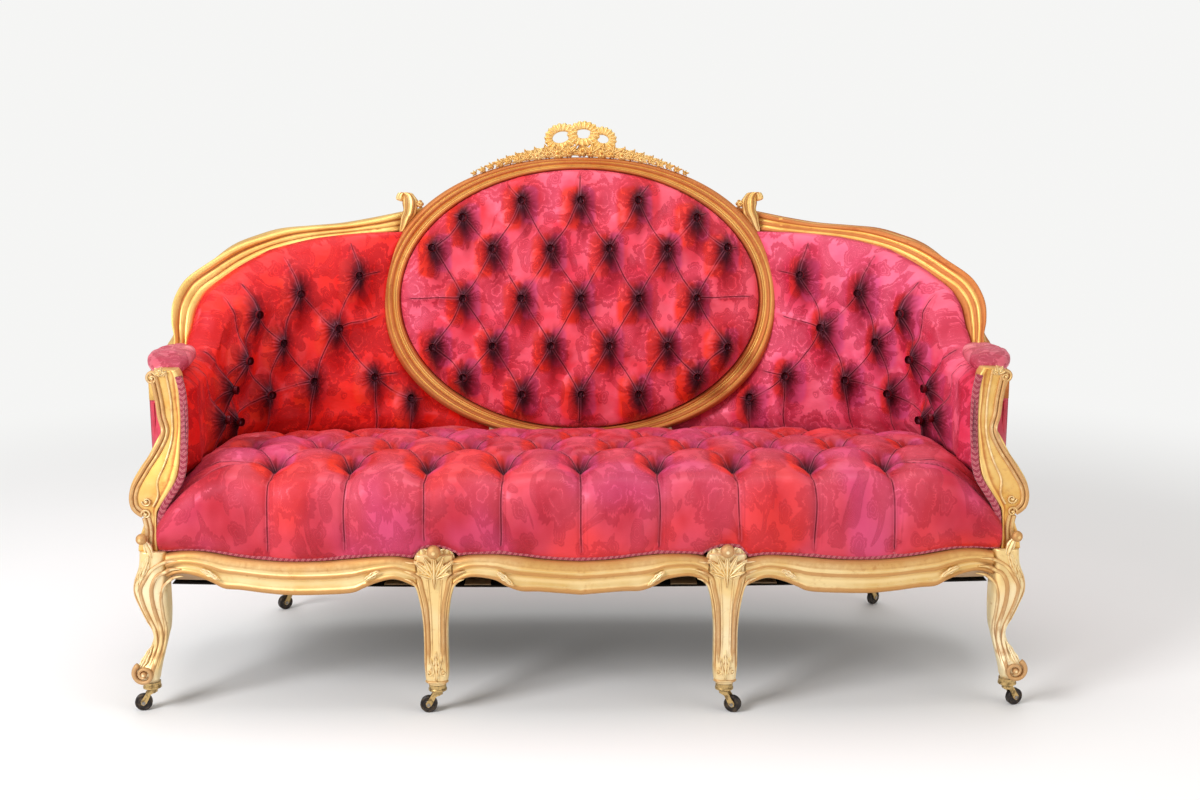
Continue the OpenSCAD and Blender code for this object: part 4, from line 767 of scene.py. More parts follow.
def dress(obj: Piece, finish: Finish, slot: str, *nodes: str) -> Piece:
    """Gives a piece its finish and the nodes that it stands for.

    Args:
        obj: the piece.
        finish: its finish.
        slot: its slot of finish.
        nodes: the nodes that it stands for.

    Returns:
        The same piece.
    """
    obj.data.materials.clear()
    obj.data.materials.append(finish.material())
    return placed(obj, slot, *nodes)


def mix(low: "float | Array", high: "float | Array", share: "float | Array") -> "float | Array":
    """A value between two."""
    return low + (high - low) * share


def smoothstep(value: Array, low: float, high: float) -> Array:
    """0 below low, 1 above high, smooth between."""
    s = np.clip((value - low) / (high - low), 0, 1)
    return s * s * (3 - 2 * s)


def curve(table: Rows, share: Array) -> Array:
    """A smooth curve through given rows, as in the part's source.

    Args:
        table: The rows.
        share: Places along the curve, from 0 at the first row to 1 at the last.

    Returns:
        One row of values for each place.
    """
    rows = np.asarray(table, float)
    last = len(rows) - 1
    s = np.clip(share, 0, 1) * last
    i = np.minimum(np.floor(s).astype(int), last - 1)
    f = (s - i)[:, None]
    a, b = rows[np.maximum(i - 1, 0)], rows[i]
    c, d = rows[i + 1], rows[np.minimum(i + 2, last)]
    bend, twist = 2 * a - 5 * b + 4 * c - d, 3 * b - a - 3 * c + d
    return 0.5 * (2 * b + (c - a) * f + bend * f ** 2 + twist * f ** 3)


def ripple(u: Array, w: Array, size: float, seed: int, count: int = 8) -> Array:
    """A smooth random field between about -1 and 1.

    Args:
        u: First cloth coordinate, mm.
        w: Second cloth coordinate, mm.
        size: Size of its waves, mm.
        seed: Seed.
        count: Number of waves laid over each other.

    Returns:
        The field at each place.
    """
    rng = np.random.default_rng(seed)
    total = np.zeros_like(u)
    for _ in range(count):
        angle = rng.uniform(0, math.tau)
        turns = math.tau / size * rng.uniform(0.6, 1.5)
        total += np.sin(turns * (u * math.cos(angle) + w * math.sin(angle)) + rng.uniform(0, math.tau))
    return total / math.sqrt(count)


def normals(points: Array) -> Array:
    """Unit normals of a net of points.

    Args:
        points: the net.

    Returns:
        One unit normal to each point.
    """
    across = np.gradient(points, axis=1)
    along = np.gradient(points, axis=0)
    out = np.cross(across, along)
    return out / np.maximum(np.linalg.norm(out, axis=-1, keepdims=True), 1e-9)


def hollows(points: Array, wrap: bool, loop: bool, reach: float) -> Array:
    """How hollow a net of points is at each point, positive in grooves and negative on crests.

    Args:
        points: The net, (rows, columns, 3), in mm.
        wrap: Whether the columns close.
        loop: Whether the rows close.
        reach: Depth in mm that counts as 1.

    Returns:
        One value for each point.
    """
    total = np.zeros(points.shape[:2])
    out = normals(points)
    for axis, shut in ((0, loop), (1, wrap)):
        for step in (1, 2):
            ahead, behind = np.roll(points, -step, axis), np.roll(points, step, axis)
            lift = np.sum(((ahead + behind) / 2 - points) * out, axis=-1)
            if not shut:
                rim = np.swapaxes(lift, 0, axis)
                rim[:step] = rim[-step:] = 0
            total += lift / step
    return np.clip(total / reach, -1, 1)


# The sofa's own lines, in millimetres


@dataclass(frozen=True)
class Plan:
    """The wrap-round plan of arms and back, and the front line of the seat."""

    half_width: float = 885.0
    back_depth: float = 305.0
    arm_reach: float = 300.0
    front_taper: float = 40.0
    front_reach: float = 386.0
    front_bow: float = 36.0
    power: float = 2.4
    flare: float = 0.11
    level: float = 450.0

    def depth(self, z: Array) -> Array:
        """Depth of the plan at a height."""
        return self.back_depth + self.flare * (z - self.level)

    def point(self, t: "Array | float", z: "Array | float", inset: "Array | float") -> Array:
        """A point of the wrap-round surface.

        Args:
            t: -1 at the front of the arm, 0 where the curve starts, 1 at the centre of the back.
            z: Height.
            inset: Distance inwards.

        Returns:
            The points, (..., 3).
        """
        t, z, inset = np.broadcast_arrays(*(np.asarray(value, float) for value in (t, z, inset)))
        a, b = self.half_width - inset, self.depth(z) - inset
        turn = np.clip(t, 0, 1) * math.pi / 2
        x = np.where(t < 0, a - self.front_taper * t * t, a * np.abs(np.cos(turn)) ** (2 / self.power))
        y = np.where(t < 0, self.arm_reach * t, b * np.abs(np.sin(turn)) ** (2 / self.power))
        return np.stack([x, y, z], -1)

    def t_at(self, x: "Array | float", inset: "Array | float") -> Array:
        """The t of a point x."""
        share = np.clip(np.asarray(x) / (self.half_width - inset), 0, 1)
        return np.arccos(share ** (self.power / 2)) / (math.pi / 2)

    def front(self, x: "Array | float") -> Array:
        """The front line."""
        return -self.front_reach + self.front_bow * (np.asarray(x) / self.half_width) ** 2

    def out_of(self, t: Array, z: Array) -> Array:
        """The direction square outwards."""
        out = self.point(t, z, 0.0) - self.point(t, z, 1.0)
        return out / np.linalg.norm(out, axis=-1, keepdims=True)

    def along(self, t: Array, z: Array) -> Array:
        """The direction along the surface."""
        step = self.point(np.asarray(t) + 0.01, z, 0.0) - self.point(t, z, 0.0)
        return step / np.linalg.norm(step, axis=-1, keepdims=True)


@dataclass(frozen=True)
class Medallion:
    """The raked oval's own plane: x, s up the slope and d in front of its face."""

    rake: float = math.radians(10.0)
    y: float = 281.0
    z: float = 744.0
    half_w: float = 412.0
    half_h: float = 297.0
    outer_w: float = 453.0
    outer_h: float = 324.88
    power: float = 2.15
    thick: float = 40.0

    def at(self, x: Array, s: Array, d: Array) -> Array:
        """Points in the sofa's frame.

        Args:
            x: places across.
            s: places up the medallion's plane.
            d: distances in front of it.

        Returns:
            The points.
        """
        x, s, d = np.broadcast_arrays(*(np.asarray(value, float) for value in (x, s, d)))
        sin, cos = math.sin(self.rake), math.cos(self.rake)
        return np.stack([x, self.y + s * sin - d * cos, self.z + s * cos + d * sin], -1)

    def outer(self, angle: Array, grow: float = 0.0) -> Array:
        """The outer outline.

        Args:
            angle: angles round the middle.
            grow: how far outside the outline.

        Returns:
            The outline's points.
        """
        c, s = np.cos(angle), np.sin(angle)
        power = 2 / self.power
        return np.stack([(self.outer_w + grow) * np.sign(c) * np.abs(c) ** power,
                         (self.outer_h + grow) * np.sign(s) * np.abs(s) ** power], -1)

    def inner(self, angle: Array, grow: float = 0.0) -> Array:
        """The opening's outline."""
        return np.stack([(self.half_w + grow) * np.cos(angle), (self.half_h + grow) * np.sin(angle)], -1)

    def half_at(self, s: Array, grow: float) -> Array:
        """Half width of the outer outline at s."""
        share = np.clip(np.abs(s) / (self.outer_h + grow), 0, 1)
        return (self.outer_w + grow) * np.maximum(1 - share ** self.power, 0) ** (1 / self.power)

    def meets(self, plan: Plan, z: Array, inset: Array, grow: float) -> Array:
        """Half width of the medallion where a wing surface meets it.

        Args:
            plan: the sofa's plan.
            z: heights.
            inset: distances inside the plan's line.
            grow: room left round it.

        Returns:
            The half widths.
        """
        y = (plan.depth(z) - inset) * 0.93
        s = (y - self.y) * math.sin(self.rake) + (z - self.z) * math.cos(self.rake)
        return self.half_at(s, grow)


PLAN = Plan()
OVAL = Medallion()
# The show rail's top and depth, the leg posts and their places.
RAIL_TOP = 330.0
APRON = 84.0
KNEE = 68.0
LEG_X = 835.0
LEG_Y = float(PLAN.front(LEG_X)) + KNEE * 0.4
MIDDLE_X = 285.0
BLOCK = 72.0
SHAFT = 47.0
MIDDLE_Y = float(PLAN.front(MIDDLE_X)) + SHAFT / 2
BAY_START = MIDDLE_X + BLOCK / 2
CORNER_INNER = LEG_X - KNEE * 0.34
PALMETTE = 14.0
CUSHION_GAP = 32.0
# Shares of an apron's length, and of its depth at its top and at its bottom.
BAY_SHARES = [[0, 0.14, 0.79], [0.08, 0.06, 0.6], [0.15, 0.07, 0.67], [0.21, 0.1, 0.82], [0.26, 0.13, 0.94],
              [0.37, 0.19, 0.99], [0.5, 0.21, 1.01], [0.6, 0.19, 0.97], [0.7, 0.13, 0.9], [0.77, 0.07, 0.87],
              [0.82, 0.02, 0.72], [0.88, -0.02, 0.58], [0.94, -0.01, 0.52], [1, 0.05, 0.61]]
CENTRE_SHARES = [[0, 0.17, 0.97], [0.16, 0.15, 0.93], [0.33, 0.11, 0.89], [0.47, 0.05, 0.88],
                 [0.58, 0.02, 0.76], [0.68, 0, 0.6], [0.84, 0.01, 0.53], [0.93, 0.05, 0.6], [1, 0.12, 0.77]]


def apron_lines(table: Rows, start: float, length: float, steps: int) -> Array:
    """Rows of x, top and bottom of an apron."""
    x, top, bottom = curve(table, np.linspace(0, 1, steps + 1)).T
    return np.stack([start + length * x, RAIL_TOP - APRON * top, RAIL_TOP - APRON * bottom], -1)


BAY_ROWS = apron_lines(BAY_SHARES, BAY_START, CORNER_INNER - BAY_START, 22)
CENTRE_ROWS = apron_lines(CENTRE_SHARES, 0, MIDDLE_X - BLOCK / 2, 12)


def edge_z(x: Array) -> Array:
    """Height of the line that the seat cover and the gimp follow.

    Args:
        x: places across the sofa.

    Returns:
        Heights in millimetres.
    """
    middle = [[MIDDLE_X - BLOCK / 2 + 0.3, RAIL_TOP], [MIDDLE_X - BLOCK * 0.25, RAIL_TOP + PALMETTE * 0.6],
              [MIDDLE_X, RAIL_TOP + PALMETTE], [MIDDLE_X + BLOCK * 0.25, RAIL_TOP + PALMETTE * 0.6]]
    end = [[CORNER_INNER - 0.3, RAIL_TOP], [PLAN.half_width, RAIL_TOP]]
    line = np.concatenate([CENTRE_ROWS[:, :2], middle, BAY_ROWS[:-1, :2], end])
    return np.interp(np.abs(x), line[:, 0], line[:, 1])


def edge_over(x: Array, reach: float) -> Array:
    """Highest point of that line within a reach."""
    return np.max([edge_z(x + reach * k / 2) for k in range(-2, 3)], axis=0) + 0.3


# Upholstery


# Distances in mm that mean out of reach of a crease, and of a button.
EDGE_OF_FOLD = 12.0
AWAY = 900.0


@dataclass(frozen=True)
class Fold:
    """A pleat between two places of a cloth, by its depths at the start, middle and end, and its width."""

    start: Tuple[float, float]
    end: Tuple[float, float]
    deep: Tuple[float, float, float] = (12.0, 5.0, 12.0)
    width: float = 17.0


@dataclass
class Relief:
    """What the buttons and pleats do to each place of a cover, in mm.

    deep is how far it is pressed in, pleat and near are the offset and distance from the nearest crease, and
    du, dw and far those from the nearest button. The last two are shares of the slants on either side of each
    button, on which the colour paints light and shade.
    """

    deep: Array
    pleat: Array
    near: Array
    du: Array
    dw: Array
    far: Array
    warm: Array
    cool: Array


@dataclass
class Tufting:
    """Buttons pulled into a stuffed cover, with the pleats that run between them."""

    buttons: Array
    folds: List[Fold]
    pit: float = 34.0
    across: float = 27.0
    up: float = 44.0
    down: float = 60.0
    border: float = 900.0
    seed: int = 1

    def relief(self, u: Array, w: Array) -> Relief:
        """How deep the cover lies below its plump outline, and where its creases are.

        Args:
            u: First cloth coordinate, mm.
            w: Second cloth coordinate, mm.

        Returns:
            The cover's relief.
        """
        zero = np.zeros_like(u)
        unfolded, away = zero + EDGE_OF_FOLD, zero + AWAY
        found = Relief(zero, unfolded, unfolded, away, away, away, zero, zero)
        bend_u = u + 1.3 * ripple(u, w, 110.0, self.seed)
        bend_w = w + 1.3 * ripple(u, w, 110.0, self.seed + 1)
        for fold in self.folds:
            self.press(found, fold, bend_u, bend_w)
        for bu, bw in self.buttons:
            du, dw = u - bu, w - bw
            length = np.where(dw > 0, self.up, self.down)
            well = self.pit * np.exp(-(np.abs(du) / self.across) ** 1.15 - (dw / length) ** 2)
            found.deep = np.maximum(found.deep, well) + 0.35 * np.minimum(found.deep, well)
            dist = np.hypot(du, dw * 26.0 / length)
            closer = dist < found.far
            found.far = np.where(closer, dist, found.far)
            # Shares of the slants left and right of each button, which the colour later paints orange-red and
            # pink-magenta, as the light falls on them.
            left = smoothstep(-du, -4, 7) * smoothstep(-du, 62, 24) * smoothstep(np.abs(dw + 12), 66, 28)
            right = smoothstep(du, -4, 7) * smoothstep(du, 50, 18) * smoothstep(np.abs(dw + 5), 60, 26)
            found.warm, found.cool = np.maximum(found.warm, left), np.maximum(found.cool, right)
            found.du, found.dw = np.where(closer, du, found.du), np.where(closer, dw, found.dw)
        found.dw = np.maximum(found.dw, -self.border)
        found.deep += 1.3 * ripple(u, w, 95.0, self.seed + 2) + 0.5 * ripple(u, w, 34.0, self.seed + 3)
        return found

    @staticmethod
    def press(found: Relief, fold: Fold, u: Array, w: Array) -> None:
        """Presses one fold into the cover.

        Args:
            found: the relief, which is changed.
            fold: the fold.
            u: places across.
            w: places along.
        """
        ax, ay = fold.start
        dx, dy = fold.end[0] - ax, fold.end[1] - ay
        run = math.hypot(dx, dy)
        share = np.clip(((u - ax) * dx + (w - ay) * dy) / run ** 2, 0, 1)
        away = np.hypot(u - ax - share * dx, w - ay - share * dy)
        side = ((u - ax) * dy - (w - ay) * dx) / run
        first, middle, last = fold.deep
        size = middle + (mix(first, last, share) - middle) * (2 * share - 1) ** 2
        sharp, soft = np.exp(-away / (fold.width * 0.25)), np.exp(-(away / fold.width) ** 1.4)
        found.deep = np.maximum(found.deep, size * (0.35 * sharp + 0.65 * soft))
        closer = away < found.near
        found.pleat = np.where(closer, np.clip(side, -EDGE_OF_FOLD, EDGE_OF_FOLD), found.pleat)
        found.near = np.where(closer, away, found.near)


@dataclass
class Cushion:
    """One deep-buttoned cushion: a plump outline, its cloth coordinates and its tufting.

    edge fades the tufting out, and rest holds the rows behind the face.
    """

    name: str
    face: Array
    u: Array
    w: Array
    tufting: Tufting
    edge: Array
    rest: Array
    finish: Finish = SILK
    flip: bool = False
    mirrored: bool = False
    shape: Optional[Array] = None
    out: Optional[Array] = None

    def build(self, loop: bool, node: str, fill: float) -> Piece:
        """Makes the cushion.

        Args:
            loop: Whether the rest rows close the form behind the face.
            node: The node that it stands for.
            fill: How tight it is; not used.

        Returns:
            The cushion.
        """
        found = self.tufting.relief(self.u, self.w)
        self.out = normals(self.face) * (-1 if self.flip else 1)
        self.shape = self.face - self.out * (found.deep * self.edge)[..., None]
        # On a mirrored cover the painted light and painted shade of the two slants change sides.
        warm, cool = (found.cool, found.warm) if self.mirrored else (found.warm, found.cool)
        near = found.near + EDGE_OF_FOLD * (1 - self.edge)
        marks = {"pleat": found.pleat, "near": near, "far": found.far, "warm": warm, "cool": cool}
        more = len(self.rest)
        across = found.du * (-1 if self.mirrored else 1)
        u, du, dw = (self.lengthened(a, more) for a in (self.u, across, found.dw))
        marks = {key: self.lengthened(a, more) for key, a in marks.items()}
        w = np.concatenate([self.w, self.w[-1:] + 20.0 * np.arange(1, more + 1)[:, None]])
        net = np.concatenate([self.shape, self.rest])
        obj = skin(self.name, net, ends=True, loop=loop, cloth=(u, w), tuft=(du, dw), marks=marks)
        return dress(obj, self.finish, "silk", node)

    @staticmethod
    def lengthened(values: Array, more: int) -> Array:
        """The rows, with the last one repeated behind the face."""
        return np.concatenate([values, np.repeat(values[-1:], more, axis=0)])

    def seats(self) -> List[Tuple[Vector, Vector]]:
        """Place and outward direction of each button, in metres.

        Returns:
            A place and a direction for each button.
        """
        found = []
        for bu, bw in self.tufting.buttons:
            i = np.unravel_index(np.argmin((self.u - bu) ** 2 + (self.w - bw) ** 2), self.u.shape)
            found.append((Vector(self.shape[i] * MM), Vector(self.out[i])))
        return found


def plain(net: Array) -> Dict:
    """What skin needs for a silk piece without buttons, whose columns close.

    Args:
        net: The piece's net of points.

    Returns:
        The arguments tuft and marks.
    """
    rows, columns = net.shape[:2]
    far = np.full((rows, columns + 1), AWAY)
    levels = {"pleat": EDGE_OF_FOLD, "near": 20.0, "far": AWAY, "warm": 0.0, "cool": 0.0}
    marks = {key: np.full((rows, columns), level) for key, level in levels.items()}
    return {"tuft": (far, far), "marks": marks}


@dataclass
class Seat:
    """The sprung seat with its buttoned top and pleated front border."""

    rear: float = 448.0
    crown: float = 60.0
    half: float = LEG_X - KNEE * 0.09 - 1.0
    pitch: float = 152.0
    row: float = 115.0
    setback: float = 120.0
    border: float = 46.0
    end_drop: float = 97.0
    columns: int = 315
    steps: int = 118
    # Share from the front of the top to its rear, and height as a share of the crown.
    profile: Rows = (
        (0, 0.62), (0.06, 0.8), (0.14, 0.93), (0.28, 1), (0.45, 0.99), (0.62, 0.88), (0.78, 0.62), (0.9, 0.3),
        (1, 0))
    # The border's rise: mm behind the front line, height share, and cloth coordinate.
    border_line: Rows = (
        (12, 0.0, -74), (3, 0.1, -60), (-5, 0.28, -38), (-9, 0.5, -16), (-7, 0.7, 4), (3, 0.87, 24),
        (18, 0.965, 36), (38, 1.0, 40))

    def rear_y(self, x: Array) -> Array:
        """The seat's rear edge.

        Args:
            x: places across the sofa.

        Returns:
            The edge's places front to back.
        """
        b = float(PLAN.depth(self.rear)) - CUSHION_GAP * 2.2
        share = np.clip(np.abs(x) / self.half, 0, 1)
        round_back = b * np.maximum(1 - share ** PLAN.power, 0) ** (1 / PLAN.power)
        middle = OVAL.at(0, -OVAL.outer_h, OVAL.thick * 0.34)[1] - 2
        return np.minimum(round_back, middle + 0.6 * np.maximum(np.abs(x) - OVAL.outer_w * 0.46, 0))

    def drop(self, x: Array) -> Array:
        """How far the seat falls away at its ends."""
        return self.end_drop * np.maximum((np.abs(x) / self.half - 0.835) / 0.165, 0) ** 2.2

    def places(self) -> Array:
        """The buttons: x, and distance behind the front line.

        Returns:
            One button to a row.
        """
        found = []
        for k in range(4):
            last = 4 + 0.5 * (k % 2)
            for x in np.arange(-last * self.pitch, last * self.pitch + 1, self.pitch):
                bow = float(PLAN.front(x) - PLAN.front(0))
                found.append((x, self.setback + self.row * k - 0.4 * bow))
        return np.array(found)

    def folds(self, places: Array) -> List[Fold]:
        """The pleats between the buttons, down the border and to the edges.

        Args:
            places: the buttons.

        Returns:
            The pleats.
        """
        found = []
        behind = places[:, 1] - self.setback
        rows = [places[np.abs(behind - self.row * k) < self.row * 0.4] for k in range(4)]
        for k in range(3):
            for a in rows[k]:
                for b in rows[k + 1]:
                    if abs(abs(a[0] - b[0]) - self.pitch / 2) < 9:
                        found.append(Fold(tuple(a), tuple(b), (24, 12, 24), 24.0))
        rng = np.random.default_rng(4)
        for a in rows[0]:
            lean = rng.uniform(-4, 4) + a[0] * 0.01
            found.append(Fold(tuple(a), (a[0], 44.0), (30, 26, 22), 30.0))
            found.append(Fold((a[0], 44.0), (a[0] + lean, -70.0), (22, 12, 5), 24.0))
        for a in rows[3]:
            found.append(Fold(tuple(a), (a[0] + rng.uniform(-5, 5), a[1] + 150), (24, 14, 10), 22.0))
        for side in Side:
            for k, row in enumerate(rows):
                a = row[np.argmax(row[:, 0] * side)]
                lean = -34 if k == 0 else 10
                found.append(Fold(tuple(a), (side * (self.half + 10), a[1] + lean), (22, 10, 6), 22.0))
                found.append(Fold(tuple(a), (side * (self.half - 40), a[1] - 75), (22, 9, 4), 22.0))
        return found

    def make(self) -> Cushion:
        """Builds the seat.

        Returns:
            The seat.
        """
        x = np.linspace(-self.half + 2.8, self.half - 2.8, self.columns)
        f = PLAN.front(x)
        e = edge_over(x, 10.0)
        r = np.maximum(self.rear_y(x), f + self.border * 2)
        crest = self.rear + self.crown * 0.62 - self.drop(x)
        rows, w = [], []
        for q, h, at in curve(self.border_line, np.linspace(0, 1, 30)):
            rows.append(np.stack([x, f + q, mix(e, crest, h)], -1))
            w.append(np.full_like(x, at))
        start = f + self.border
        for v in np.arange(self.steps + 1) / self.steps:
            y = mix(start, r, v)
            height = np.interp(v, *np.transpose(self.profile))
            rows.append(np.stack([x, y, self.rear + self.crown * height - self.drop(x)], -1))
            w.append(y - f)
        face = np.array(rows)
        for _ in range(3):
            face[1:-1, :, 2] = face[1:-1, :, 2] * 0.5 + (face[:-2, :, 2] + face[2:, :, 2]) * 0.25
        w = np.array(w)
        u = np.broadcast_to(x, w.shape).copy()
        places = self.places()
        folds = self.folds(places)
        tufting = Tufting(places, folds, pit=40.0, across=30.0, up=36.0, down=36.0, border=46.0, seed=11)
        edge = smoothstep(w, -74, -52) * smoothstep(r - f - w, 0, 30)
        edge = edge * smoothstep(self.half - np.abs(u), 0, 30)
        under = np.minimum(RAIL_TOP + 68, crest - 14)
        corners = ((r, under), (start + 14, under), (start + 14, e))
        rest = np.array([np.stack([x, y, z], -1) for y, z in corners])
        return Cushion("seat_top", face, u, w, tufting, edge, rest, SEAT_SILK_PAINTED_SHADE)


@dataclass
class OvalSeatback:
    """The buttoned cushion of the medallion."""

    pitch: float = 130.0
    row: float = 107.0
    crown: float = 40.0
    steps: int = 150
    tuck: float = 1.06

    def places(self) -> Array:
        """The buttons in the medallion's plane.

        Returns:
            One button to a row.
        """
        found = []
        for row in range(-2, 3):
            odd = abs(row) % 2 == 1
            for i in range(-3, 4):
                if (odd and i < 3) or (not odd and abs(i) < 3):
                    x = (i + 0.5 if odd else i) * self.pitch
                    drawn = math.copysign(self.row * 0.36, row) if abs(row) == 2 and abs(i) == 2 else 0
                    found.append((x, row * self.row - drawn))
        return np.array(found)

    def folds(self, places: Array) -> List[Fold]:
        """The diamond lattice and the pleats that run out to the rim.

        Args:
            places: the buttons.

        Returns:
            The pleats.
        """
        found = []
        for i, a in enumerate(places):
            for b in places[i + 1:]:
                if 30 < abs(a[0] - b[0]) < self.pitch * 0.7 and abs(a[1] - b[1]) < self.row * 1.2:
                    found.append(Fold(tuple(a), tuple(b), (12, 5, 12), 16.0))
        rng = np.random.default_rng(7)
        for x, s in places:
            share = math.hypot(x / OVAL.half_w, s / OVAL.half_h)
            if share > 0.62:
                end = (x / share + rng.uniform(-8, 8), s / share + rng.uniform(-8, 8))
                found.append(Fold((x, s), end, (12, 7, 5), 17.0))
        return found

    def make(self) -> Cushion:
        """Builds the medallion's cushion.

        Returns:
            The cushion.
        """
        half = np.linspace(-1, 1, self.steps)
        a, b = np.meshgrid(half, np.linspace(-1, 1, int(self.steps * 0.76)))
        x, s = a * np.sqrt(1 - b * b / 2), b * np.sqrt(1 - a * a / 2)
        r = np.hypot(x, s)
        inside = np.minimum(r * self.tuck, 1)
        scale = inside / np.maximum(r, 1e-9)
        rim = np.maximum(1 - inside ** 2, 0) ** 0.35
        d = 6 + self.crown * rim - 20 * np.maximum(r * self.tuck - 1, 0) / (self.tuck - 1)
        px, ps = x * scale * (OVAL.half_w - 1.2), s * scale * (OVAL.half_h - 1.2)
        places = self.places()
        tufting = Tufting(places, self.folds(places), pit=40.0, across=27.0, up=40.0, down=62.0, seed=23)
        edge = smoothstep(1 - inside, 0.0, 0.1)
        face = OVAL.at(px, ps, d)
        return Cushion("medallion_cushion", face, px, ps, tufting, edge, face[:0], flip=True)


@dataclass
class Wing:
    """One buttoned wing, from the arm's front to the medallion."""

    side: Side
    columns: int = 180
    rows: int = 76
    bottom: float = 453.0
    crown: float = 46.0
    front: float = -0.802
    # Place along the plan, and distance of the cushion's back from it as a share of the cushion gap.
    inset_line: Rows = (
        (-1, 1.25), (0.06, 1.3), (0.13, 1.35), (0.19, 1.3), (0.28, 1.15), (0.365, 0.95), (0.45, 0.75),
        (0.52, 0.62), (1, 0.55))
    button_low: float = 448.0
    button_rise: float = 500.0
    # Of each button: place along the plan, and share of the rise above the lowest.
    button_shares: Rows = (
        (0.62, 0.71), (0.46, 0.65), (0.29, 0.57), (0.56, 0.48), (0.4, 0.43), (0.22, 0.38), (0.65, 0.25),
        (0.5, 0.25), (0.34, 0.21), (0.73, 0.13), (0.12, 0.12), (0.05, 0.27), (-0.22, 0.17))
    # Pairs of buttons that a pleat joins.
    pleats: Sequence[Tuple[int, int]] = (
        (0, 3), (1, 3), (1, 4), (2, 4), (2, 5), (3, 6), (3, 7), (4, 7), (4, 8), (5, 8), (5, 10), (5, 11),
        (6, 9), (8, 10), (7, 8), (11, 10), (11, 12))

    def inset(self, t: Array) -> Array:
        """Back of the cushion, inwards from the wrap-round surface."""
        return CUSHION_GAP * np.interp(t, *np.transpose(self.inset_line))

    def top(self, t: Array) -> Array:
        """Height of the cushion's top edge.

        Args:
            t: places along the wing, from 0 to 1.

        Returns:
            Heights in millimetres.
        """
        line = [[-1, 656], [0, 656]] + [[row[3], WingRail.height(row[4]) + 5] for row in WingRail.ROWS[5:]]
        line.append([1, WingRail.height(0.81) + 5])
        return np.interp(t, *np.transpose(line))

    @staticmethod
    def reach(t: Array) -> Array:
        """Length along the wing at t, in mm."""
        fine = np.linspace(-1, 1, 801)
        return np.interp(t, fine, run_of(PLAN.point(fine, 600, 60)))

    def folds(self, places: Array) -> List[Fold]:
        """The lattice, the pleats down to the seat and those up to the rail.

        Args:
            places: the buttons.

        Returns:
            The pleats.
        """
        rng = np.random.default_rng(31)
        found = [Fold(tuple(places[a]), tuple(places[b]), (12, 6, 12), 16.0) for a, b in self.pleats]
        for x, z in places[[6, 7, 8, 9, 10, 12, 11]]:
            found.append(Fold((x, z), (x + rng.uniform(-10, 14), self.bottom - 10), (16, 9, 9), 18.0))
        for x, z in places[[0, 1, 2, 5, 11, 12]]:
            found.append(Fold((x, z), (x - rng.uniform(2, 26), z + 190), (14, 7, 8), 16.0))
        for x, z in places[[0, 3, 6, 9]]:
            found.append(Fold((x, z), (x + 170, z + rng.uniform(10, 60)), (12, 6, 5), 16.0))
        return found

    def make(self) -> Cushion:
        """Builds the wing.

        Returns:
            The wing.
        """
        v = np.linspace(0, 1, self.rows)[:, None]
        u = np.linspace(0, 1, self.columns)[None, :]
        inset = self.inset(0.8) + 9
        guess = mix(self.bottom, WingRail.height(0.81) - 4, v)
        last = PLAN.t_at(OVAL.meets(PLAN, guess, inset, 3.0), inset) + 0.014 + 0.035 * (1 - v) ** 5
        t = mix(self.front, last, u) + 0 * v
        z = mix(self.bottom - 20.0 * u ** 4, self.top(t), v)
        round_u = np.minimum(1, np.minimum(9 * u, 10 * (1 - u))) ** 0.5
        round_v = np.minimum(1, np.minimum(7 * v + 0.25, 7 * (1 - v))) ** 0.5
        face = PLAN.point(t, z, self.inset(t) + 9 + self.crown * round_u * round_v)
        back_t = mix(self.front, PLAN.t_at(OVAL.meets(PLAN, guess, inset - 9, 10.0), inset), u) + 0 * v
        rest = PLAN.point(back_t, z, self.inset(t))[::-1][::25]
        along, rise = np.transpose(self.button_shares)
        places = np.stack([self.reach(along), self.button_low + self.button_rise * rise], -1)
        seed = 41 + self.side
        tufting = Tufting(places, self.folds(places), pit=38.0, across=27.0, up=40.0, down=58.0, seed=seed)
        edge = smoothstep(np.minimum(u, 1 - u), 0, 0.04) * smoothstep(np.minimum(v + 0.02, 1 - v), 0, 0.07)
        for net in (face, rest):
            net[..., 0] *= self.side
        left = self.side is Side.LEFT
        # The left wing takes the silk painted as turned from the light, the right wing the copy painted as
        # facing it.
        name, finish = "wing_" + self.side.label, SILK_LEFT_PAINTED_SHADED if left else SILK_RIGHT_PAINTED_LIT
        return Cushion(name, face, self.reach(t), z, tufting, edge, rest, finish, left, not left)


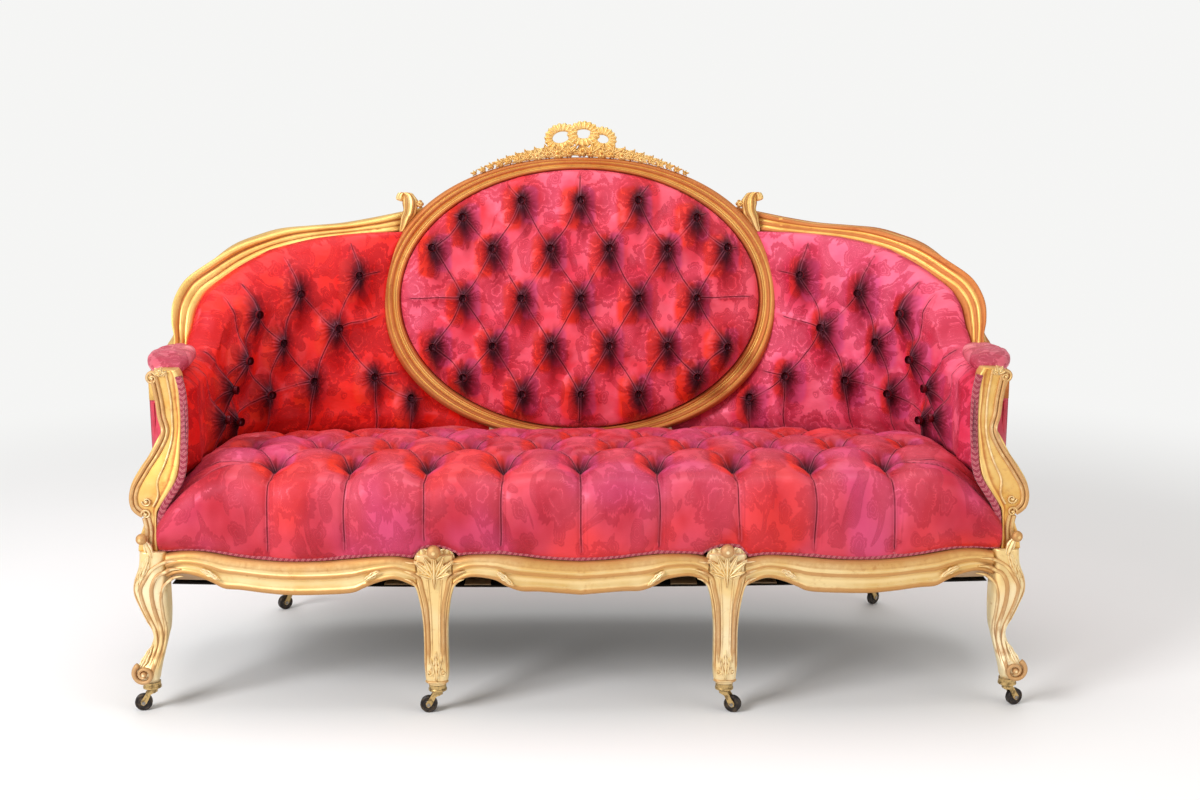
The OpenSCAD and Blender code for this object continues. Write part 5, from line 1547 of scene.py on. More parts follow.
@dataclass
class WingRail:
    """The show rail that sweeps from the arm up to the medallion."""

    side: Side
    depth: float = 32.0
    relief: float = 5.0
    rings: int = 120
    # Of the outer and of the inner edge: place along the plan, height share and inset share; then the lean.
    ROWS: Table = (
        (-0.8, 0, 1.05, -0.8, -0.17, 1.05, 0), (-0.55, 0, 1.05, -0.55, -0.17, 1.05, 0),
        (-0.25, 0, 1.0, -0.25, -0.17, 1.05, 0), (-0.06, 0.03, 0.8, -0.02, -0.13, 1.1, 0.35),
        (0.02, 0.12, 0.5, 0.06, -0.02, 1.15, 0.75), (0.045, 0.24, 0.2, 0.095, 0.16, 1.2, 0.95),
        (0.075, 0.375, 0.1, 0.13, 0.305, 1.2, 1), (0.14, 0.52, 0.25, 0.19, 0.41, 1.15, 0.9),
        (0.244, 0.64, 0.5, 0.28, 0.5, 1.0, 0.6), (0.345, 0.75, 0.5, 0.365, 0.6, 0.8, 0.3),
        (0.43, 0.81, 0.3, 0.45, 0.69, 0.6, 0.1), (0.5, 0.855, 0.15, 0.52, 0.735, 0.5, 0),
        (0.567, 0.87, 0.1, 0.58, 0.77, 0.4, 0), (0.636, 0.885, 0, 0.64, 0.79, 0.4, 0),
        (0.7, 0.925, 0, 0.69, 0.8, 0.4, 0))
    # Share across the face, and share of the relief.
    PROFILE: Table = (
        (0, 0), (0.02, 0.5), (0.07, 1.0), (0.13, 1.25), (0.2, 1.1), (0.26, 0.6), (0.3, -0.1), (0.34, -0.3),
        (0.38, -0.1), (0.43, 0.5), (0.5, 0.75), (0.57, 0.7), (0.62, 0.3), (0.65, 0.1), (0.69, 0.5),
        (0.76, 1.2), (0.83, 1.4), (0.9, 1.1), (0.96, 0.4), (1, 0))

    @staticmethod
    def height(share: float) -> float:
        """Height at a share of the wing's rise."""
        return 660.0 + 288.0 * share

    def section(self, outer: Array, inner: Array, front: Array, push: Array) -> Array:
        """One ring of the rail, from its two front edges, the way to the front and the way to its back.

        Args:
            outer: the outer front edge.
            inner: the inner front edge.
            front: the way to the front.
            push: the way to its back.

        Returns:
            The ring's points.
        """
        face = [outer + (inner - outer) * a + front * b for a, b in self.PROFILE]
        back = [inner + push * s for s in (0.25, 0.6, 1)] + [outer + push * s for s in (1, 0.6, 0.25)]
        return np.array(face + back)

    def make(self) -> Piece:
        """Builds the rail.

        Returns:
            The rail.
        """
        rings = []
        share = np.linspace(0, 1, self.rings)
        for t, rise, inset, low_t, low_rise, low_inset, lean in curve(self.ROWS, share):
            outer = PLAN.point(t, self.height(rise), self.depth * inset)
            inner = PLAN.point(low_t, self.height(low_rise), self.depth * low_inset)
            a, z = math.radians(90 * lean), outer[2]
            push = self.depth * (math.cos(a) * PLAN.out_of(t, z) + math.sin(a) * PLAN.along(t, z))
            rings.append(self.section(outer, inner, push / np.linalg.norm(push) * -self.relief, push))
        ends = []
        for rise, share in ((1.0, 0), (0.81, 0.4)):
            z, inset = self.height(rise), self.depth * share
            ends.append(PLAN.point(PLAN.t_at(OVAL.meets(PLAN, z, 0.0, 3.0), inset), z, inset))
        rings.append(self.section(*ends, np.array([0, -self.relief, 0]), np.array([0, self.depth, 0])))
        net = np.array(rings)
        net[..., 0] *= self.side
        marks = {"hollow": hollows(net, True, False, 0.9)}
        obj = skin("wing_moulding_" + self.side.label, net, wrap=True, ends=True, marks=marks)
        return dress(obj, RAIL_GILT, "gilt_wood", "wing_rail_" + self.side.label)


@dataclass
class OvalFrame:
    """The moulded oval frame."""

    steps: int = 200
    # Share across the band from the opening outwards, and relief as a share of the thickness.
    PROFILE: Table = (
        (0, -1), (0, -0.2), (0, 0.05), (0.02, 0.13), (0.06, 0.2), (0.11, 0.24), (0.16, 0.23), (0.2, 0.17),
        (0.225, 0.1), (0.25, 0.13), (0.28, 0.15), (0.31, 0.13), (0.335, 0.07), (0.37, 0.12), (0.43, 0.22),
        (0.5, 0.285), (0.56, 0.3), (0.6, 0.27), (0.625, 0.21), (0.65, 0.25), (0.7, 0.325), (0.77, 0.355),
        (0.84, 0.325), (0.9, 0.25), (0.94, 0.16), (0.97, 0.1), (1, -0.02), (1, -0.4), (1, -1))

    def make(self) -> Piece:
        """Builds the frame.

        Returns:
            The frame.
        """
        angle = np.linspace(0, math.tau, self.steps, endpoint=False)
        outer, inner = OVAL.outer(angle), OVAL.inner(angle)
        rows = []
        for share, relief in self.PROFILE:
            p = mix(inner, outer, share)
            rows.append(OVAL.at(p[:, 0], p[:, 1], OVAL.thick * relief))
        net = np.array(rows)
        marks = {"hollow": hollows(net, True, True, 0.9)}
        obj = skin("medallion_moulding", net, wrap=True, loop=True, marks=marks)
        return dress(obj, RAIL_GILT, "gilt_wood", "oval_frame")


# Carving, in millimetres, on the right-hand side


AHEAD = np.array([0.0, -1.0, 0.0])


def unit(vectors: Array) -> Array:
    """Vectors of length 1."""
    return vectors / np.maximum(np.linalg.norm(vectors, axis=-1, keepdims=True), 1e-9)


@dataclass
class Carving:
    """Carved forms that are gathered into one piece; the left side mirrors all that is added."""

    side: Side = Side.RIGHT
    gilt: Finish = GILT_CARVED
    parts: List[Piece] = field(default_factory=list)

    def add(self, net: Array, reach: float = 0.9, loop: bool = False, gilt: Optional[Finish] = None) -> None:
        """Adds a closed net of points.

        Args:
            net: The points, in rings.
            reach: Depth in mm of a full hollow.
            loop: Whether the last ring meets the first.
            gilt: Its finish, where it isn't the piece's.
        """
        net = net.copy()
        marks = {"hollow": hollows(net, True, loop, reach)}
        net[..., 0] *= self.side
        obj = skin("carved", net, wrap=True, ends=not loop, loop=loop, marks=marks)
        obj.data.materials.append((gilt or self.gilt).material())
        self.parts.append(obj)

    def bead(self, path: Array, out: Array, width: "Array | float", rise: "Array | float") -> None:
        """Adds a half-round bead.

        Args:
            path: Points along its foot.
            out: Direction in which it stands, for each point or for all.
            width: Width at each point, or one.
            rise: Height at each point, or one.
        """
        width, rise = (np.broadcast_to(value, len(path))[:, None, None] for value in (width, rise))
        out = unit(np.broadcast_to(out, path.shape))
        across = unit(np.cross(np.gradient(path, axis=0), out))[:, None]
        turn = np.linspace(0, math.pi, 9)[None, :, None]
        face = path[:, None] + across * np.cos(turn) * width / 2 + out[:, None] * np.sin(turn) ** 0.8 * rise
        foot = [path[:, None] + across * k * width * 0.4 - out[:, None] * 3.0 for k in (-1, 1)]
        self.add(np.concatenate([face, *foot], axis=1), 1.0)

    def moulding(self, path: Array, *beads: Tuple[float, float, float]) -> None:
        """Adds beads side by side along one path on a front face, each by its offset, width and height."""
        across = unit(np.cross(np.gradient(path, axis=0), np.broadcast_to(AHEAD, path.shape)))
        for offset, width, rise in beads:
            self.bead(path + across * offset, AHEAD, width, rise)

    def leaf(self, root: Array, tip: Array, out: Array, width: float, rise: float, lobes: int = 4,
             curl: float = 0.0) -> None:
        """Adds an acanthus leaf with a midrib, fluted halves and a lobed edge.

        Args:
            root: Where it starts.
            tip: Where it ends.
            out: Direction in which its face looks.
            width: Greatest width.
            rise: Height of its face.
            lobes: Number of lobes along each edge.
            curl: How far its tip turns outwards.
        """
        root, tip, out = np.array(root, float), np.array(tip, float), unit(np.array(out, float))
        across = unit(np.cross(tip - root, out))
        s, q = np.meshgrid(np.linspace(0, 1, 30), np.linspace(-1, 1, 15), indexing="ij")
        half = width / 2 * np.sin(math.pi * np.clip(s, 0.02, 0.99) ** 0.72) ** 0.75
        half = half * (1 - 0.2 * (0.5 + 0.5 * np.cos(math.tau * lobes * (s - 0.25 * np.abs(q)))))
        ribs = np.exp(-(q / 0.13) ** 2) * 0.35 - 0.5 * np.exp(-((np.abs(q) - 0.45) / 0.14) ** 2)
        veins = 0.16 * np.sin(math.tau * lobes * (s + 0.35 * np.abs(q)))
        swell = (1 - q * q) ** 0.5 * 0.8 + ribs + veins * np.abs(q)
        lift = rise * np.minimum(1, 8 * (1 - s)) * swell + curl * s * s
        spine = root + (tip - root) * s[..., None]
        face = spine + across * (half * q)[..., None] + out * np.maximum(lift, -1.0)[..., None]
        back = spine + across * (half * q * 0.9)[..., None] + out * (curl * s * s - 2.5)[..., None]
        self.add(np.concatenate([face, back[:, ::-7]], axis=1), 0.6)

    def boss(self, centre: Array, out: Array, radius: float, rise: float, petals: int = 0,
             gilt: Optional[Finish] = None) -> None:
        """Adds a round boss, or a flower with that many petals.

        Args:
            centre: its middle.
            out: the way that it faces.
            radius: its radius.
            rise: its height.
            petals: how many petals, or none.
            gilt: a finish other than the usual one.
        """
        centre, out = np.array(centre, float), unit(np.array(out, float))
        right = unit(np.cross(out, np.array([0.0, 0.12, 1.0])))
        up = np.cross(right, out)
        a = np.linspace(0, math.tau, max(24, petals * 8), endpoint=False)[:, None]
        r = np.array([1.0, 0.97, 0.86, 0.7, 0.52, 0.36, 0.24, 0.12, 0.01])[None, :]
        height = np.sqrt(np.maximum(1 - r * r, 0))
        reach = r * radius + 0 * a
        if petals:
            lobe = np.abs(np.cos(a * petals / 2))
            reach = reach * (1 - 0.22 * (1 - lobe) * r)
            heart, ring = np.exp(-(r / 0.26) ** 2), np.exp(-((r - 0.34) / 0.1) ** 2)
            height = 0.62 * height * (1 - 0.35 * (1 - lobe)) + 0.5 * heart - 0.25 * ring
        flat = centre + right * (reach * np.cos(a))[..., None] + up * (reach * np.sin(a))[..., None]
        face = flat + out * (rise * height)[..., None]
        self.add(np.concatenate([flat[:, :1] - out * 3.0, face], axis=1).transpose(1, 0, 2), 0.6, gilt=gilt)

    def volute(self, centre: Array, out: Array, radius: float, turns: float, start: float,
               sense: float) -> None:
        """Adds a spiral bead around a boss, in the plane square to out.

        Args:
            centre: Its eye.
            out: Direction in which it stands.
            radius: Its outer radius.
            turns: Number of turns.
            start: Angle of its outer end in degrees.
            sense: 1 or -1, the way in which it winds.
        """
        centre, out = np.array(centre, float), unit(np.array(out, float))
        right = unit(np.cross(np.array([0.0, 0.0, 1.0]), out))
        up = np.cross(out, right)
        s = np.linspace(0, 1, int(40 * turns))
        r = radius * (0.86 - 0.66 * s)
        a = math.radians(start) + sense * math.tau * turns * s
        flat = centre + right * (r * np.cos(a))[:, None] + up * (r * np.sin(a))[:, None]
        path = flat + out * (radius * 0.25 * s)[:, None]
        self.bead(path, out, radius * (0.42 - 0.22 * s), radius * (0.26 - 0.08 * s))
        self.boss(centre + out * radius * 0.2, out, radius * 0.24, radius * 0.24)

    def piece(self, name: str, *nodes: str) -> Piece:
        """Joins the forms into one piece that stands for those nodes."""
        return placed(joined(self.parts, name), "gilt_wood", *nodes)


@dataclass
class Aprons:
    """The three carved aprons."""

    thick: float = 38.0
    bay_steps: int = 110
    centre_steps: int = 60
    # Distance in front of the face line as a share of the thickness, and height share from the bottom.
    PROFILE: Table = (
        (-1, 0), (-0.5, 0), (-0.22, 0.0), (-0.1, 0.02), (0.0, 0.06), (0.05, 0.11), (0.055, 0.16), (0.02, 0.2),
        (-0.02, 0.22), (-0.015, 0.26), (-0.05, 0.31), (-0.07, 0.37), (-0.04, 0.43), (0.02, 0.48),
        (0.08, 0.52), (0.11, 0.57), (0.09, 0.62), (0.03, 0.65), (0.02, 0.67), (0.05, 0.71), (0.07, 0.76),
        (0.06, 0.82), (0.02, 0.9), (-0.05, 0.97), (-0.12, 1), (-0.5, 1), (-1, 1))
    # Root and tip of each leaf, x and z.
    BAY_TIPS: Table = ((742, 299, 704, 279), (392, 299, 424, 280))
    CENTRE_TIPS: Table = ((162, 298, 130, 271), (-162, 298, -130, 271))

    def net(self, rows: Array) -> Array:
        """The net of one apron.

        Args:
            rows: the apron's rows.

        Returns:
            The net.
        """
        rings = []
        for x, top, low in rows:
            f = float(PLAN.front(x))
            rings.append([[x, f - self.thick * q, mix(low, top, h)] for q, h in self.PROFILE])
        return np.array(rings)

    def make(self) -> None:
        """Builds all three."""
        bay = apron_lines(BAY_SHARES, BAY_START, CORNER_INNER - BAY_START, self.bay_steps)
        centre = apron_lines(CENTRE_SHARES, 0, MIDDLE_X - BLOCK / 2, self.centre_steps)
        whole = np.concatenate([centre[:0:-1] * [-1, 1, 1], centre])
        for name, side, rows, tips in (
                ("right", Side.RIGHT, bay, self.BAY_TIPS), ("left", Side.LEFT, bay, self.BAY_TIPS),
                ("center", Side.RIGHT, whole, self.CENTRE_TIPS)):
            work = Carving(side)
            work.add(self.net(rows), 2.2, gilt=GILT_WORKED)
            for x, z, to_x, to_z in tips:
                root = np.array([x, float(PLAN.front(x)) - 3.0, z])
                tip = np.array([to_x, float(PLAN.front(to_x)) - 4.0, to_z])
                work.leaf(root, tip, np.array([0.0, -1.0, -0.15]), 13.0, 5.0, 3, 2.0)
            work.piece("apron_moulding_" + name, "apron_" + name)


@dataclass
class LegFace:
    """A leg's outline: its rings, and the places on its front."""

    x: float
    y: float
    turn: float
    table: Rows
    low: float = 52.0
    high: float = RAIL_TOP

    def __post_init__(self) -> None:
        """Makes the dense table of height, shift, half width, half depth and power."""
        self.dense = curve(self.table, np.linspace(0, 1, 260))

    def row(self, h: Array) -> Tuple[Array, ...]:
        """Shift, half width, half depth and power at a height share."""
        return tuple(np.interp(h, self.dense[:, 0], self.dense[:, k]) for k in range(1, 5))

    def at(self, h: "Array | float", q: "Array | float") -> Tuple[Array, Array]:
        """Place and outward direction on the front.

        Args:
            h: Share of the height.
            q: Share of the half width, positive outwards.

        Returns:
            The place and the direction.
        """
        h, q = np.asarray(h, float), np.asarray(q, float)
        shift, wide, deep, power = self.row(h)
        fall = np.maximum(1 - np.abs(q) ** power, 0.0)
        x = self.x + shift + q * wide
        y = self.y - self.turn * shift - deep * fall ** (1 / power)
        z = mix(self.low, self.high, h)
        side = np.sign(q) * np.abs(q) ** (power - 1) / wide
        out = np.stack([side, -fall ** (1 - 1 / power) / deep, 0 * x], -1)
        return np.stack([x, y, z], -1), unit(out)

    def net(self, steps: int = 100, around: int = 56) -> Array:
        """The leg's rings, from the foot up.

        Args:
            steps: rings up the leg.
            around: points on each ring.

        Returns:
            The rings.
        """
        rings = []
        a = (np.arange(around) + 0.5) * math.tau / around
        c, d = np.cos(a), np.sin(a)
        for h in np.linspace(0, 1, steps):
            shift, wide, deep, power = self.row(h)
            x = self.x + shift + wide * np.sign(c) * np.abs(c) ** (2 / power)
            y = self.y - self.turn * shift + deep * np.sign(d) * np.abs(d) ** (2 / power)
            rings.append(np.stack([x, y, np.full_like(a, mix(self.low, self.high, h))], -1))
        return np.array(rings)

    def line(self, before: Rows, places: Rows, count: int = 70) -> Tuple[Array, Array]:
        """A smooth line that comes from the apron and runs down the leg.

        Args:
            before: Places x, z on the apron's face.
            places: Places h, q on the leg.
            count: Number of points.

        Returns:
            Its points, and the outward direction at each.
        """
        points = [[x, float(PLAN.front(x)) - 2.0, z] for x, z in before]
        outs = [[0.0, -1.0, 0.0] for _ in before]
        for h, q in places:
            point, out = self.at(h, q)
            points.append(list(point))
            outs.append(list(out))
        share = np.linspace(0, 1, count)
        return curve(points, share), unit(curve(outs, share))

    def bead(self, work: Carving, before: Rows, places: Rows, width: float, rise: float, thin: float,
             last: float) -> None:
        """Carves a bead that comes off the apron and thins out down the leg.

        Args:
            work: The carving to add to.
            before: Places x, z on the apron's face.
            places: Places h, q on the leg.
            width: Its width.
            rise: Its height.
            thin: How fast it thins at its end.
            last: What share of it is left there.
        """
        path, out = self.line(before, places)
        share = np.linspace(0, 1, len(path))
        taper = np.minimum(1, thin * (1 - share) + last) * np.minimum(1, 7 * share + 0.1)
        work.bead(path, out, width * taper, rise * taper)


@dataclass
class ArmSupport:
    """The curved support of an arm, with its grooved face."""

    side: Side
    FOOT: ClassVar[float] = 330.3
    TOP: ClassVar[float] = 678.0
    Y: ClassVar[float] = LEG_Y + 44 * 0.07
    # Height share, the two edges as shares of the knee,
    # and how far back it stands as a share of the arm's reach.
    SHARES: Table = (
        (0, -0.09, 0.48, 0), (0.07, -0.09, 0.43, 0), (0.14, -0.1, 0.3, 0), (0.19, -0.11, 0.26, 0),
        (0.23, -0.14, 0.42, 0.005), (0.26, -0.24, 0.6, 0.01), (0.31, -0.42, 0.68, 0.02),
        (0.38, -0.64, 0.62, 0.04), (0.46, -0.74, 0.4, 0.07), (0.53, -0.77, 0.16, 0.1),
        (0.6, -0.78, -0.02, 0.125), (0.68, -0.78, -0.23, 0.15), (0.75, -0.78, -0.2, 0.165),
        (0.83, -0.76, -0.06, 0.18), (0.92, -0.75, 0.1, 0.19), (0.97, -0.72, 0.12, 0.195),
        (1, -0.62, 0.02, 0.2))
    # Share across the face and relief in mm.
    FACE: Table = (
        (0.0, -3.0), (0.02, 0.0), (0.06, 1.4), (0.12, 1.0), (0.18, 0.4), (0.35, 0.8), (0.55, 1.0),
        (0.75, 0.8), (0.92, 0.5), (0.98, 0.0), (1.0, -3.0))
    # Places x, z on the face.
    OUTER: Table = (
        (836, 678), (830, 650), (824, 618), (820, 589), (813, 558), (828, 523), (850, 488), (870, 450),
        (869, 420), (852, 405))
    PALE: Table = (
        (811, 678), (803, 630), (800, 589), (800, 548), (812, 502), (826, 468), (824, 440), (834, 420))
    NECK: Table = ((846, 398), (842, 372), (846, 340))

    @classmethod
    def at_height(cls, z: Array, column: int) -> Array:
        """One column of the shares at a height."""
        rows = np.array(cls.SHARES)
        return np.interp((z - cls.FOOT) / (cls.TOP - cls.FOOT), rows[:, 0], rows[:, column])

    @classmethod
    def front_y(cls, z: Array) -> Array:
        """The face's y at a height."""
        return cls.Y - 20 + PLAN.arm_reach * cls.at_height(z, 3)

    @classmethod
    def path(cls, places: Rows, count: int = 80, lift: float = 1.0) -> Array:
        """A smooth path on the face through places x, z.

        Args:
            places: the places.
            count: points on the path.
            lift: height over the face.

        Returns:
            The path's points.
        """
        flat = curve([[x, 0.0, z] for x, z in places], np.linspace(0, 1, count))
        flat[:, 1] = cls.front_y(flat[:, 2]) - lift
        return flat

    def net(self) -> Array:
        """The support's rings, from its foot up.

        Returns:
            The rings.
        """
        rings = []
        for share, low, high, back in curve(self.SHARES, np.linspace(0, 1, 90)):
            a, b = LEG_X + KNEE * low, LEG_X + KNEE * high
            y, z = self.Y + PLAN.arm_reach * back, mix(self.FOOT, self.TOP, share)
            face = [[mix(a, b, c), y - 20 - lift, z] for c, lift in self.FACE]
            rear = ((b, 10), (b - 3, 22), (mix(a, b, 0.5), 22), (a + 3, 22), (a, 10))
            rings.append(face + [[x, y + d, z] for x, d in rear])
        return np.array(rings)

    def make(self) -> Piece:
        """Builds the support.

        Returns:
            The support.
        """
        work = Carving(self.side)
        work.add(self.net(), 1.0, gilt=ARM_GILT)
        work.moulding(self.path(self.OUTER), (-4.6, 8.5, 5.0), (4.0, 7.5, 4.4))
        work.moulding(self.path(self.PALE), (0.0, 5.0, 3.0))
        work.moulding(self.path(self.NECK, 24), (-5.5, 9.0, 3.2), (3.5, 8.0, 3.2))
        for x, z, sink, radius, turns, start, sense in (
                (847, 405, 2.0, 11.5, 1.2, 0.0, 1.0), (846, 430, 2.0, 11.5, 1.2, 0.0, -1.0),
                (837, 664, 1.0, 15.0, 1.3, 120.0, -1.0)):
            work.volute([x, float(self.front_y(z)) - sink, z], AHEAD, radius, turns, start, sense)
        crown = np.array([822.0, float(self.front_y(680)) - 2.0, 668.0])
        for turn, length in ((-55, 17), (-15, 20), (25, 19), (62, 15)):
            a = math.radians(turn)
            tip = crown + [length * math.sin(a), -3.0, length * math.cos(a)]
            work.leaf(crown, tip, AHEAD, 10.0, 4.5, 2, 2.0)
        return work.piece("arm_carving_" + self.side.label, "arm_support_" + self.side.label)


@dataclass
class EndPanel:
    """The silk between an arm support and the outside panel."""

    side: Side
    low: float = 336.0
    high: float = 655.0
    thick: float = 5.0

    def make(self) -> Piece:
        """Builds the panel.

        Returns:
            The panel.
        """
        z = np.linspace(self.low, self.high, 40)
        edge = LEG_X + KNEE * ArmSupport.at_height(z, 2) - 6
        front = np.stack([edge, ArmSupport.front_y(z) + 36, z], -1)
        back = PLAN.point(-0.77, z, 1.5)
        outer = [mix(back, front, k) for k in np.linspace(0, 1, 7)]
        net = np.stack(outer + [p - np.array([self.thick, 0, 0]) for p in outer[::-1]], 1)
        net[..., 0] *= self.side
        return dress(skin("end_panel_" + self.side.label, net, wrap=True, ends=True), BACK_SILK, "silk")


@dataclass
class ArmPad:
    """The silk roll on an arm."""

    side: Side
    half_width: float = 46.0
    rise: float = 42.0
    start: float = -241.17
    finish: float = -22.5
    along: int = 60
    around: int = 40

    def make(self) -> Piece:
        """Builds the pad.

        Returns:
            The pad.
        """
        turn = np.linspace(0, math.tau, self.around, endpoint=False)
        u, a = np.meshgrid(np.linspace(0, 1, self.along), turn, indexing="ij")
        y = mix(self.start, self.finish, u)
        swell = np.sin(np.radians(mix(6, 174, u))) ** 0.3
        crease = 1 - 0.05 * np.abs(np.sin(u * 16 + 0.8 * np.sin(a * 2))) * np.sin(a).clip(0, 1)
        w = self.half_width * swell * np.sign(np.cos(a)) * np.abs(np.cos(a)) ** 0.8 * crease
        h = self.rise * swell * (0.5 + 0.5 * np.sign(np.sin(a)) * np.abs(np.sin(a)) ** 0.8) * crease
        inside = PLAN.half_width - 40 - np.where(y < 0, PLAN.front_taper * (y / PLAN.arm_reach) ** 2, 0)
        low = 660.5 + 11 * np.maximum((u - 0.68) / 0.32, 0) ** 1.3
        lumps = ripple(y, a * 30, 26.0, 5 + self.side)
        z = low + h * (1 - 0.2 * u) + lumps * np.sin(a).clip(0, 1)
        net = np.stack([self.side * (inside + w), y, z], -1)
        obj = skin("arm_roll_" + self.side.label, net, wrap=True, ends=True, **plain(net))
        return dress(obj, PAD_SILK, "silk", "arm_pad_" + self.side.label)


@dataclass
class CornerLeg:
    """A front corner leg: knee with leaf and ball, beads that come off the apron, scroll foot."""

    side: Side
    # Height share, shift and half width as shares of the knee.
    SHARES: Table = (
        (0, 0.31, 0.215), (0.035, 0.31, 0.218), (0.06, 0.36, 0.3), (0.1, 0.4, 0.37), (0.14, 0.36, 0.365),
        (0.18, 0.27, 0.31), (0.24, 0.15, 0.25), (0.3, 0.06, 0.22), (0.36, 0, 0.22), (0.43, 0, 0.29),
        (0.54, 0.06, 0.39), (0.64, 0.12, 0.46), (0.73, 0.16, 0.5), (0.8, 0.14, 0.48), (0.89, 0.08, 0.42),
        (1, 0.06, 0.4))
    # Places on the apron from its end, then places h, q on the leg, width and height.
    BEADS: ClassVar[Sequence[Tuple[Rows, Rows, float, float]]] = (
        (((-26, 314), (-8, 313.5), (6, 309)),
         ((0.88, -0.05), (0.81, 0.25), (0.74, 0.45), (0.64, 0.5), (0.54, 0.48), (0.42, 0.42), (0.31, 0.3),
          (0.22, 0.1), (0.17, -0.05)), 7.5, 3.4),
        (((-30, 298), (-10, 297), (3, 290)),
         ((0.83, -0.42), (0.75, -0.2), (0.64, -0.12), (0.54, -0.12), (0.42, -0.22), (0.31, -0.3),
          (0.21, -0.42), (0.13, -0.55), (0.06, -0.62)), 8.5, 4.0),
        (((-34, 283.5), (-17, 281), (-4, 272)),
         ((0.75, -0.8), (0.68, -0.66), (0.6, -0.62), (0.52, -0.62), (0.42, -0.7), (0.31, -0.8), (0.21, -0.84),
          (0.11, -0.86)), 6.5, 3.2),
        ((), ((0.96, 0.3), (0.89, 0.66), (0.8, 0.84), (0.7, 0.88), (0.6, 0.86), (0.5, 0.82), (0.42, 0.72)),
         5.5, 2.6))

    def make(self) -> Piece:
        """Builds the leg.

        Returns:
            The leg.
        """
        table = [[h, KNEE * a, KNEE * b, KNEE * b, 2.0 if h < 0.05 else 3.0] for h, a, b in self.SHARES]
        face = LegFace(LEG_X, LEG_Y, 0.55, table)
        work = Carving(self.side)
        work.add(face.net(), 4.0)
        for before, places, width, rise in self.BEADS:
            face.bead(work, [[CORNER_INNER + x, z] for x, z in before], places, width, rise, 6, 0.25)
        self.knee(work, face)
        self.foot(work, face)
        return work.piece("corner_carving_" + self.side.label, "front_leg_" + self.side.label)

    @staticmethod
    def knee(work: Carving, face: LegFace) -> None:
        """The leaf and the ball on the knee.

        Args:
            work: the carving that is added to.
            face: the leg's face.
        """
        root, out = face.at(0.985, 0.1)
        for h, q, width in ((0.72, 0.66, 17.0), (0.8, 0.74, 13.0), (0.8, 0.4, 12.0)):
            tip, _ = face.at(h, q)
            work.leaf(root - out * 1.0, tip + out * 1.5, out, width, 4.6)
        ball = np.array([LEG_X + 21, root[1] - 2.0, 358.0])
        work.leaf(root + [-4, 2, -6], ball + [-2, 3, 4], np.array([0.2, -1.0, 0.0]), 20.0, 6.0, 2)
        work.boss(ball, [0.2, -1, 0], 11.0, 9.5, gilt=BALL_GILT)

    @staticmethod
    def foot(work: Carving, face: LegFace) -> None:
        """The volute and the leaf of the scroll foot.

        Args:
            work: the carving that is added to.
            face: the leg's face.
        """
        centre, out = face.at(0.118, 0.05)
        work.volute(centre, out, 25.0, 1.5, 60.0, -1.0)
        root, lead = face.at(0.13, 0.55)
        for h, q, width in ((0.31, 0.62, 15.0), (0.25, 0.92, 11.0)):
            tip, _ = face.at(h, q)
            work.leaf(root, tip + lead * 4.0, lead, width, 4.0, 3)


